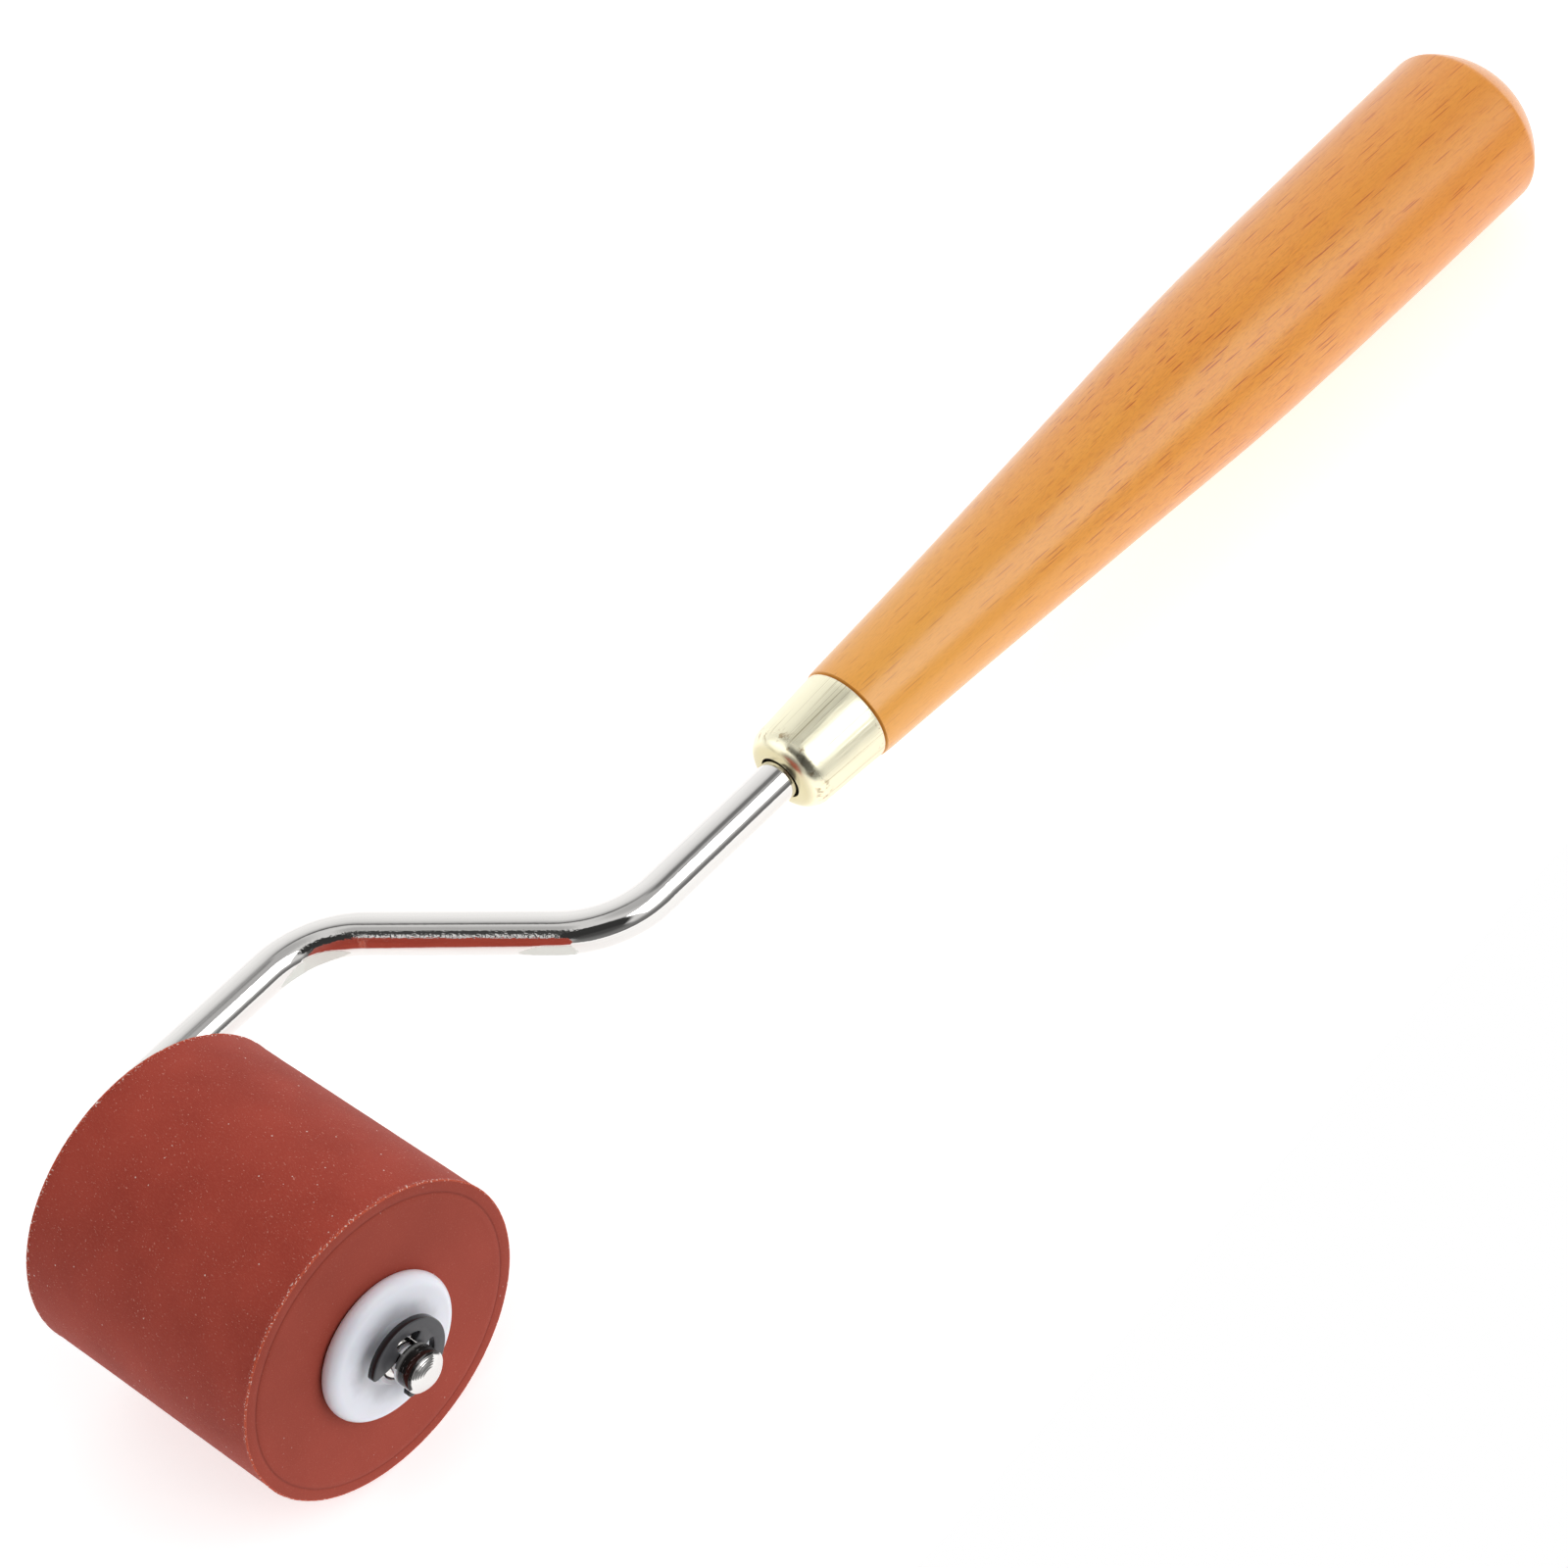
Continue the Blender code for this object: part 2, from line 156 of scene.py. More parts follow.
# Handle.
HANDLE_SHOULDER_X = 111.65 * MM
HANDLE_SHOULDER_EDGE = 0.25 * MM
HANDLE_SPIGOT_INSET = 1.0 * MM
HANDLE_BORE_RADIUS = 3.3 * MM
HANDLE_BORE_END_X = 151.0 * MM
HANDLE_END_X = 257.92 * MM
HANDLE_DOME_RADIUS = 15.25 * MM
HANDLE_CORNER_RADIUS = 1.6 * MM
HANDLE_GRIP = (
    (HANDLE_SHOULDER_X, 7.4 * MM),
    (132.0 * MM, 8.5 * MM),
    (160.0 * MM, 10.2 * MM),
    (188.0 * MM, 12.0 * MM),
    (205.0 * MM, 12.6 * MM),
    (226.0 * MM, 12.95 * MM),
    (249.5 * MM, 13.2 * MM),
)
HANDLE_SIDES = 240

# Camera, in world coordinates.  Its heading is measured from +Y towards +X.
CAMERA_LOCATION = (-0.1545, -0.3547, 0.5072)
CAMERA_HEADING = 35.457
CAMERA_PITCH = 48.372
CAMERA_ROLL = -17.002
CAMERA_LENS = 111.6
CAMERA_SENSOR = 36.0

# Floor: it ends a little in front of the roller and to its left.
FLOOR_REACH = 3.0
FLOOR_FRONT = -0.085
FLOOR_LEFT = -0.12
FLOOR_GLOW = 0.6

# The light tent is two cloths that meet in a dark seam, a plane through the roller with this
# normal.  The cloths' levels are given by how far a direction points to the normal's side.
SEAM_NORMAL = (0.595, 0.768, -0.244)
CLOTH_LEVELS = (
    (-0.090, 0.75), (-0.025, 0.15), (0.030, 0.15), (0.055, 0.30), (0.11, 0.50), (0.14, 0.57),
    (0.20, 0.70), (0.29, 0.82), (0.46, 0.91), (0.66, 1.00), (0.85, 1.07),
)
# One lamp behind the tent's cloth and its darker openings: (direction, level, full within these
# degrees, gone beyond these).
PATCHES = (
    ((-0.75, 0.45, 0.50), 1.4, 18.0, 38.0),
    ((0.30, -0.25, 0.92), 0.50, 10.0, 26.0),
    ((0.48, -0.08, 0.88), 0.20, 4.0, 12.0),
    ((-0.39, 0.08, 0.92), 0.50, 5.0, 16.0),
    ((-0.60, -0.06, 0.80), 0.06, 8.0, 16.0),
    ((-1.0, 0.0, 0.1), 0.22, 14.0, 28.0),
    ((-0.52, -0.62, 0.55), 0.04, 24.0, 30.0),
    ((-0.55, -0.80, 0.10), 0.08, 16.0, 26.0),
)
# Dark room seen past the front edge of the floor.
FRONT_LEVEL = 0.2

# Softbox over the open side of the roller.
KEY_DIRECTION = (0.36, -0.75, 0.555)
KEY_DISTANCE = 1.2
KEY_SIZE = (0.9, 0.8)
KEY_RADIANCE = 2.3

# Colours, linear.  A pair holds the darkest and the lightest of a mottled surface.
FACE_REDS = (0.31, 0.044, 0.025, 1), (0.40, 0.063, 0.038, 1)
TREAD_REDS = (0.29, 0.029, 0.015, 1), (0.455, 0.062, 0.036, 1)
FIBRE_RED = (0.48, 0.11, 0.07, 1)
RING_RED = (0.12, 0.015, 0.009, 1)
RIM_HIGHLIGHT_RED = (0.62, 0.10, 0.045, 1)
FLAKE_PINK = (0.62, 0.26, 0.20, 1)
DUST_PALE = (0.85, 0.72, 0.66, 1)
CRUMB_PALE = (0.85, 0.70, 0.62, 1)
CRUMB_DARK = (0.10, 0.02, 0.015, 1)
NYLON_WHITES = (0.86, 0.88, 0.98, 1), (0.90, 0.92, 0.99, 1)
CLIP_SHADE_GREY = (0.42, 0.39, 0.38, 1)
BLACKENED_FACE = (0.055, 0.055, 0.060, 1), (0.085, 0.085, 0.092, 1)
EDGE_DARK_REFLECTION = (0.012, 0.012, 0.013, 1)
ALUMINIUM_GREYS = (0.72, 0.72, 0.74, 1), (0.82, 0.82, 0.84, 1)
NICKEL_GREYS = (0.76, 0.745, 0.725, 1), (0.84, 0.825, 0.805, 1)
PRESSED_GREY = (0.71, 0.73, 0.69, 1)
DARK_REFLECTION_BLACK = (0.012, 0.010, 0.009, 1)
BRASS_YELLOWS = (0.92, 0.87, 0.62, 1), (0.98, 0.95, 0.76, 1)
SCRATCH_BROWN = (0.40, 0.32, 0.14, 1)
STAIN_BROWN = (0.40, 0.27, 0.12, 1)
NOSE_YELLOW = (0.60, 0.52, 0.28, 1)
RING_BROWNS = (0.88, 0.30, 0.022, 1), (0.98, 0.43, 0.050, 1)
WANDER_BROWN = (0.90, 0.32, 0.028, 1)
GRAIN_BROWN = (0.66, 0.20, 0.018, 1)
PORE_BROWN = (0.62, 0.17, 0.010, 1)
FAINT_FLECK = (0.62, 0.13, 0.006, 1)
STRONG_FLECK = (0.54, 0.085, 0.001, 1)
BUTT_BROWN = (0.84, 0.26, 0.010, 1)
NECK_PAINTED_LIGHT = (0.99, 0.50, 0.085, 1)
CUP_PAINTED_SHADE = (0.012, 0.008, 0.005, 1)
FLOOR_GREYS = (0.69, 0.69, 0.69, 1), (0.71, 0.71, 0.71, 1)


# ---------------------------------------------------------------- outlines

def arc(centre, radius, start, end, steps):
    """Points of a plane arc between two angles in degrees, both ends included."""
    turns = (math.radians(start + (end - start) * i / steps) for i in range(steps + 1))
    return [(centre[0] + radius * math.cos(t), centre[1] + radius * math.sin(t)) for t in turns]


def filleted(corners, radii, step):
    """Open polyline through plane corners, each inner corner rounded by an arc of its radius."""
    corners = [Vector(corner) for corner in corners]
    points = [corners[0]]
    for before, corner, after, radius in zip(corners, corners[1:], corners[2:], radii):
        to_before = (before - corner).normalized()
        to_after = (after - corner).normalized()
        half = to_before.angle(to_after) / 2
        turn = math.pi - 2 * half
        centre = corner + (to_before + to_after).normalized() * radius / math.sin(half)
        first = corner + to_before * radius / math.tan(half) - centre
        side = math.copysign(1.0, to_before.x * to_after.y - to_before.y * to_after.x)
        steps = max(2, math.ceil(turn / step))
        for i in range(steps + 1):
            points.append(centre + Matrix.Rotation(-side * turn * i / steps, 2) @ first)
    points.append(corners[-1])
    return [tuple(point) for point in points]


def polar(radius, degrees):
    """Plane point at a radius and an angle."""
    return Vector((radius * math.cos(math.radians(degrees)), radius * math.sin(math.radians(degrees))))


def smooth_through(points, steps):
    """Catmull-Rom curve through plane points, with the given steps between neighbours."""
    points = [Vector(point) for point in points]
    padded = [2 * points[0] - points[1], *points, 2 * points[-1] - points[-2]]
    curve = []
    for p0, p1, p2, p3 in zip(padded, padded[1:], padded[2:], padded[3:]):
        for i in range(steps):
            t = i / steps
            curve.append(0.5 * (2 * p1 + (p2 - p0) * t + (2 * p0 - 5 * p1 + 4 * p2 - p3) * t ** 2
                                + (3 * p1 - p0 - 3 * p2 + p3) * t ** 3))
    curve.append(points[-1])
    return [tuple(point) for point in curve]


def spaced(outline, step):
    """The same line with points added where neighbours lie further apart than a step."""
    line = [outline[0]]
    for start, end in zip(outline, outline[1:]):
        parts = max(1, math.ceil(math.dist(start, end) / step))
        for i in range(1, parts + 1):
            line.append(tuple(a + (b - a) * i / parts for a, b in zip(start, end)))
    return line


def bump(value, start, end, rise, fall):
    """1 between start and end, falling smoothly to 0 over a ramp on either side."""
    up = min(max((value - start) / rise + 1, 0.0), 1.0)
    down = min(max((end - value) / fall + 1, 0.0), 1.0)
    return up * up * (3 - 2 * up) * down * down * (3 - 2 * down)


# ---------------------------------------------------------------- meshes

def join_rings(bm, ring, following):
    """Faces between two rings of vertices, either of which may be one point on the axis."""
    if len(ring) == 1 and len(following) == 1:
        return
    count = max(len(ring), len(following))
    for k in range(count):
        j = (k + 1) % count
        corners = [ring[k % len(ring)], ring[j % len(ring)],
                   following[j % len(following)], following[k % len(following)]]
        bm.faces.new(dict.fromkeys(corners))


def turned(outline, axis, sides, closed, relief=None):
    """Spin (along, radius) points about an axis.  relief(along, radius, turn) moves each point."""
    beside = axis.cross(UP)
    bm = bmesh.new()
    rings = []
    for along, radius in outline:
        if radius == 0.0:
            rings.append([bm.verts.new(axis * along)])
            continue
        ring = []
        for k in range(sides):
            turn = math.tau * k / sides
            a, r = relief(along, radius, turn) if relief else (along, radius)
            outward = UP * math.cos(turn) + beside * math.sin(turn)
            ring.append(bm.verts.new(axis * a + outward * r))
        rings.append(ring)
    following = rings[1:] + rings[:1] if closed else rings[1:]
    for ring, after in zip(rings, following):
        join_rings(bm, ring, after)
    return bm


def piece(name, bm, material, place, body, node):
    """Turn a bmesh into a named object at its place, riding on a body instead of a CAD node."""
    bmesh.ops.recalc_face_normals(bm, faces=bm.faces)
    bmesh.ops.transform(bm, matrix=place, verts=bm.verts)
    mesh = bpy.data.meshes.new(name)
    bm.to_mesh(mesh)
    bm.free()
    mesh.shade_smooth()
    mesh.set_sharp_from_angle(angle=SHARP_ANGLE)
    mesh.materials.append(material)
    obj = bpy.data.objects.new(name, mesh)
    bpy.context.scene.collection.objects.link(obj)
    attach(obj, body)
    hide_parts(node)


# ---------------------------------------------------------------- material recipes

class Recipe:
    """A node tree in the making: one call for each node of a material or a world."""

    def __init__(self, owner):
        owner.use_nodes = True
        self.owner = owner
        self.tree = owner.node_tree

    def feed(self, socket, value):
        """Link a socket to another node's output, or set its value."""
        if isinstance(value, bpy.types.NodeSocket):
            self.tree.links.new(value, socket)
        else:
            socket.default_value = value

    def surface(self, **values):
        """Set or link sockets of the surface shader, by their names with _ for a space."""
        shader = self.tree.nodes["Principled BSDF"]
        for name, value in values.items():
            self.feed(shader.inputs[name.replace("_", " ")], value)

    def node(self, kind, inputs, **settings):
        """Add a shader node, with its inputs fed and its settings set."""
        made = self.tree.nodes.new("ShaderNode" + kind)
        for name, value in settings.items():
            setattr(made, name, value)
        for name, value in inputs.items():
            self.feed(made.inputs[name], value)
        return made

    def place(self, tilt=0.0):
        """Position on the piece, from the roller's centre, in axes tipped about the roller's axis."""
        resting = self.node("TexCoord", {}).outputs["Object"]
        return self.node("Mapping", {"Vector": resting, "Location": AXLE_CENTRE,
                                     "Rotation": (0.0, tilt, 0.0)}, vector_type="TEXTURE").outputs[0]

    def turned(self, vector, degrees):
        """The vector turned about Z."""
        return self.node("Mapping", {"Vector": vector, "Rotation": (0.0, 0.0, math.radians(degrees))},
                         vector_type="POINT").outputs[0]

    def attribute(self, name, output="Vector"):
        return self.node("Attribute", {}, attribute_name=name).outputs[output]

    def split(self, vector):
        return self.node("SeparateXYZ", {"Vector": vector}).outputs

    def off_axle(self, vector):
        """Distance of the vector's place from the roller's axis."""
        x, _, z = self.split(vector)
        squares = self.maths("ADD", self.maths("MULTIPLY", x, x), self.maths("MULTIPLY", z, z))
        return self.maths("SQRT", squares)

    def unrolled(self, vector, radius):
        """The vector's place on a tube round X laid flat: along it, and round it at the radius."""
        x, y, z = self.split(vector)
        turn = self.maths("ARCTAN2", y, z)
        return self.node("CombineXYZ", {"X": x, "Y": self.maths("MULTIPLY", turn, radius)}).outputs[0]

    def maths(self, operation, a, b=0.0, c=0.0):
        return self.node("Math", {0: a, 1: b, 2: c}, operation=operation).outputs[0]

    def scaled(self, vector, sizes):
        """The vector in units of the given size along each axis."""
        factors = tuple(1.0 / size for size in sizes)
        return self.node("VectorMath", {0: vector, 1: factors}, operation="MULTIPLY").outputs[0]

    def noise(self, vector, detail=2.0, roughness=0.5, distortion=0.0):
        """Smooth noise with features about one unit across."""
        return self.node("TexNoise", {"Vector": vector, "Scale": 1.0, "Detail": detail,
                                      "Roughness": roughness, "Distortion": distortion}).outputs["Fac"]

    def cells(self, vector):
        """Distance to the nearest of the points scattered one to each unit cell."""
        return self.node("TexVoronoi", {"Vector": vector, "Scale": 1.0}).outputs["Distance"]

    def ramp(self, value, low, high, at_low=0.0, at_high=1.0):
        """Smooth step from one value to another."""
        return self.node("MapRange", {"Value": value, "From Min": low, "From Max": high,
                                      "To Min": at_low, "To Max": at_high},
                         interpolation_type="SMOOTHSTEP").outputs["Result"]

    def steps(self, value, levels):
        """Level read off a line through (value, level) points, for values from -1 to 1."""
        top = max(level for _, level in levels)
        made = self.node("ValToRGB", {"Fac": self.maths("MULTIPLY_ADD", value, 0.5, 0.5)})
        stops = made.color_ramp.elements
        stops.remove(stops[1])
        stops[0].position = 0.0
        stops[0].color = (levels[0][1] / top,) * 3 + (1.0,)
        for at, level in levels:
            stops.new(0.5 * at + 0.5).color = (level / top,) * 3 + (1.0,)
        return self.maths("MULTIPLY", made.outputs["Color"], top)

    def mix(self, factor, a, b):
        """Colour a where the factor is 0 and b where it is 1."""
        made = self.node("Mix", {"Factor": factor}, data_type="RGBA")
        self.feed(made.inputs[6], a)
        self.feed(made.inputs[7], b)
        return made.outputs[2]

    def bump(self, height, depth, normal=None):
        """Normal of a surface raised by the depth where the height is 1."""
        inputs = {"Height": height, "Distance": depth, "Strength": 1.0}
        if normal:
            inputs["Normal"] = normal
        return self.node("Bump", inputs).outputs["Normal"]


def new_recipe(name):
    return Recipe(bpy.data.materials.new(name))


def silicone_colour(r, place, grain):
    """Mottled reds of the tread and the end faces, with the ring line and a painted highlight along the
    rim.
    """
    radius = r.off_axle(place)
    tread = r.ramp(radius, TREAD_RADIUS - 0.22 * MM, TREAD_RADIUS - 0.07 * MM)
    cloud = r.noise(r.scaled(place, (8 * MM,) * 3), detail=4.0)
    face_red = r.mix(cloud, *FACE_REDS)
    tread_red = r.mix(cloud, *TREAD_REDS)
    red = r.mix(tread, face_red, tread_red)
    red = r.mix(r.ramp(grain, 0.45, 0.80, 0.0, 0.5), red, FIBRE_RED)
    off_ring = r.maths("ABSOLUTE", r.maths("SUBTRACT", radius, RING_RADIUS))
    red = r.mix(r.ramp(off_ring, 0.24 * MM, 0.06 * MM, 0.0, 0.3), red, RING_RED)
    off_middle = r.maths("ABSOLUTE", r.split(place)[1])
    at_end = r.ramp(off_middle, ROLLER_HALF_WIDTH - 0.4 * MM, ROLLER_HALF_WIDTH - 0.2 * MM)
    rim = r.maths("MULTIPLY", tread, at_end)
    # Painted highlight: a bright orange-red line along the lip, where the tread meets the end face.
    red = r.mix(r.maths("MULTIPLY", rim, 0.7), red, RIM_HIGHLIGHT_RED)
    return red, tread, rim


def silicone_material():
    """Ground brownish red silicone with short fibres, pale dust and a crumbly rim."""
    r = new_recipe("silicone")
    place = r.place()
    slanted = r.turned(place, 12.0)
    fibres = r.noise(r.scaled(slanted, (0.16 * MM, 0.55 * MM, 0.16 * MM)), detail=3.0, roughness=0.7)
    red, tread, rim = silicone_colour(r, place, fibres)
    flakes = r.noise(r.scaled(slanted, (0.22 * MM, 0.38 * MM, 0.22 * MM)), detail=1.0)
    clusters = r.noise(r.scaled(place, (5 * MM,) * 3), detail=2.0)
    share = r.maths("MULTIPLY", r.ramp(flakes, 0.66, 0.76, 0.0, 0.7),
                    r.ramp(clusters, 0.3, 0.6, 0.3, 1.0))
    share = r.maths("MULTIPLY", share, r.ramp(tread, 0.0, 1.0, 0.35, 1.0))
    red = r.mix(share, red, FLAKE_PINK)
    ragged = r.maths("MULTIPLY", flakes, 0.08)
    away = r.maths("ADD", r.cells(r.scaled(place, (2.2 * MM,) * 3)), ragged)
    dust = r.maths("MULTIPLY", r.ramp(away, 0.095, 0.070), r.ramp(tread, 0.0, 1.0, 0.35, 0.8))
    red = r.mix(dust, red, DUST_PALE)
    crumbs = r.noise(r.scaled(place, (0.28 * MM,) * 3), detail=2.0)
    off_middle = r.maths("ABSOLUTE", r.split(place)[1])
    near_end = r.ramp(off_middle, ROLLER_HALF_WIDTH - 0.8 * MM, ROLLER_HALF_WIDTH - 0.3 * MM)
    border = r.maths("MULTIPLY", tread, near_end)
    red = r.mix(r.maths("MULTIPLY", border, r.ramp(crumbs, 0.60, 0.66)), red, CRUMB_PALE)
    red = r.mix(r.maths("MULTIPLY", rim, r.ramp(crumbs, 0.38, 0.32)), red, CRUMB_DARK)
    depth = r.ramp(tread, 0.0, 1.0, 0.12, 1.0)
    normal = r.bump(r.maths("MULTIPLY", fibres, depth), 0.05 * MM)
    r.surface(Base_Color=red, Roughness=r.ramp(fibres, 0.2, 0.8, 0.72, 0.88), Normal=normal,
              Specular_IOR_Level=0.25, Sheen_Weight=0.05)
    return r.owner


def nylon_material():
    """Bluish white moulded nylon, satin, with painted shade from the clip round its hub."""
    r = new_recipe("nylon")
    place = r.place()
    cloud = r.noise(r.scaled(place, (3 * MM,) * 3), detail=3.0)
    colour = r.mix(cloud, *NYLON_WHITES)
    ragged = r.maths("MULTIPLY_ADD", cloud, 3.0 * MM, r.off_axle(place))
    # Painted shade: a grey ring round the hub deepens the clip's shadow on the flange.
    clip_shade = r.ramp(ragged, CLIP_SHADE_OUTER_RADIUS, CLIP_SHADE_INNER_RADIUS, 0.0, 0.38)
    colour = r.mix(clip_shade, colour, CLIP_SHADE_GREY)
    fine = r.noise(r.scaled(place, (0.4 * MM,) * 3), detail=2.0)
    r.surface(Base_Color=colour, Roughness=r.ramp(cloud, 0.3, 0.7, 0.30, 0.40),
              Normal=r.bump(fine, 0.004 * MM))
    r.surface(Subsurface_Weight=0.15, Subsurface_Scale=1.0 * MM)
    return r.owner


def black_steel_material():
    """Blackened spring steel: satin faces, and glossier edges with a painted dark reflection."""
    r = new_recipe("black_steel")
    place = r.place(rest_tilt())
    cloud = r.noise(r.scaled(place, (1.2 * MM,) * 3), detail=4.0)
    fine = r.noise(r.scaled(place, (0.12 * MM,) * 3), detail=2.0)
    colour = r.mix(cloud, *BLACKENED_FACE)
    off_centre = r.maths("ABSOLUTE", r.split(place)[1])
    front = r.ramp(off_centre, CLIP_FRONT - 0.20 * MM, CLIP_FRONT - 0.06 * MM)
    # Painted dark reflection: away from the front face, the clip's edges are drawn near black.
    colour = r.mix(front, EDGE_DARK_REFLECTION, colour)
    r.surface(Base_Color=colour, Roughness=r.ramp(front, 0.0, 1.0, 0.16, 0.28),
              Specular_IOR_Level=0.35, Normal=r.bump(fine, 0.004 * MM))
    return r.owner


def aluminium_material():
    """Drawn aluminium tube, with fine lines along its axis."""
    r = new_recipe("aluminium")
    lines = r.noise(r.scaled(r.place(), (0.15 * MM, 12 * MM, 0.15 * MM)), detail=3.0)
    colour = r.mix(lines, *ALUMINIUM_GREYS)
    r.surface(Base_Color=colour, Metallic=1.0, Roughness=r.ramp(lines, 0.3, 0.7, 0.28, 0.42),
              Normal=r.bump(lines, 0.006 * MM))
    return r.owner


def bright_steel_material():
    """Nickel plated bar: drawn lines, pits between the bends, frosted press marks, painted dark
    reflection on its end.
    """
    r = new_recipe("bright_steel")
    bar = r.attribute("bar")
    pressed = r.ramp(r.attribute("pressed", "Fac"), 0.1, 0.9)
    pitted = r.attribute("pitted", "Fac")
    dark_reflection = r.attribute("dark_reflection", "Fac")
    peel = r.noise(r.scaled(bar, (0.9 * MM, 0.5 * MM, 0.5 * MM)), detail=2.0)
    pits = r.noise(r.scaled(bar, (0.45 * MM, 0.35 * MM, 0.35 * MM)), detail=1.0)
    lines = r.noise(r.scaled(bar, (9 * MM, 0.12 * MM, 0.12 * MM)), detail=2.0)
    frost = r.noise(r.scaled(bar, (0.16 * MM,) * 3), detail=2.0)
    colour = r.mix(lines, *NICKEL_GREYS)
    colour = r.mix(pressed, colour, PRESSED_GREY)
    streaks = r.noise(r.scaled(bar, (0.12 * MM, 0.9 * MM, 0.9 * MM)), detail=3.0)
    # Painted dark reflection on the upper side of the axle's end past the clip, broken into streaks and
    # made less metallic.
    painted_reflection = r.maths("MULTIPLY", r.ramp(dark_reflection, 0.02, 0.35), r.ramp(streaks, 0.15, 0.40))
    colour = r.mix(painted_reflection, colour, DARK_REFLECTION_BLACK)
    normal = r.bump(peel, 0.004 * MM)
    normal = r.bump(r.maths("MULTIPLY", pits, pitted), 0.035 * MM, normal)
    normal = r.bump(lines, 0.0015 * MM, normal)
    normal = r.bump(r.maths("MULTIPLY", frost, pressed), 0.05 * MM, normal)
    roughness = r.maths("ADD", r.ramp(lines, 0.3, 0.7, 0.03, 0.07), r.maths("MULTIPLY", pressed, 0.45))
    metallic = r.maths("SUBTRACT", 1.0, r.maths("MULTIPLY", painted_reflection, 0.97))
    r.surface(Base_Color=colour, Metallic=metallic, Roughness=roughness, Normal=normal)
    return r.owner


def brass_material():
    """Pale polished brass, scratched along the cup in groups, with brown stains at its corner."""
    r = new_recipe("brass")
    place = r.place(rest_tilt())
    back = r.maths("SUBTRACT", r.split(place)[0], FERRULE_NOSE_X)
    wall = r.ramp(back, 1.2 * MM, 3.2 * MM)
    flat = r.unrolled(place, FERRULE_MOUTH_RADIUS)
    polish = r.noise(r.scaled(flat, (20 * MM, 0.12 * MM, 1.0)), detail=3.0, roughness=0.6)
    scratches = r.noise(r.scaled(flat, (40 * MM, 0.16 * MM, 1.0)), detail=1.0)
    groups = r.ramp(r.noise(r.scaled(flat, (40 * MM, 1.6 * MM, 1.0))), 0.42, 0.58)
    scratched = r.maths("MULTIPLY", r.ramp(scratches, 0.58, 0.66), r.maths("MULTIPLY", groups, wall))
    smudge = r.noise(r.scaled(place, (1.6 * MM, 1.1 * MM, 1.1 * MM)), detail=4.0, roughness=0.6)
    corner = r.maths("MULTIPLY", r.ramp(back, 0.6 * MM, 1.4 * MM), r.ramp(back, 3.8 * MM, 2.2 * MM))
    stain = r.maths("MULTIPLY", r.ramp(smudge, 0.52, 0.64), corner)
    mouth = r.maths("MULTIPLY", r.ramp(smudge, 0.60, 0.68), r.ramp(back, 11.8 * MM, 13.2 * MM))
    colour = r.mix(polish, *BRASS_YELLOWS)
    colour = r.mix(r.maths("MULTIPLY", scratched, 0.65), colour, SCRATCH_BROWN)
    stained = r.maths("MAXIMUM", stain, mouth)
    colour = r.mix(r.maths("MULTIPLY", stained, 0.65), colour, STAIN_BROWN)
    colour = r.mix(r.ramp(back, 1.0 * MM, 0.1 * MM, 0.0, 0.7), colour, NOSE_YELLOW)
    normal = r.bump(r.maths("MULTIPLY", polish, wall), 0.040 * MM)
    r.surface(Base_Color=colour, Metallic=1.0, Roughness=r.ramp(wall, 0.0, 1.0, 0.24, 0.30),
              Normal=normal)
    return r.owner


def beech_flecks(r, place, length, width, reach):
    """Cut ends of the wood's rays: thin dark dashes, one in each cell of the given size."""
    cells = r.cells(r.scaled(place, (length, width, width)))
    return r.ramp(cells, reach, 0.5 * reach)


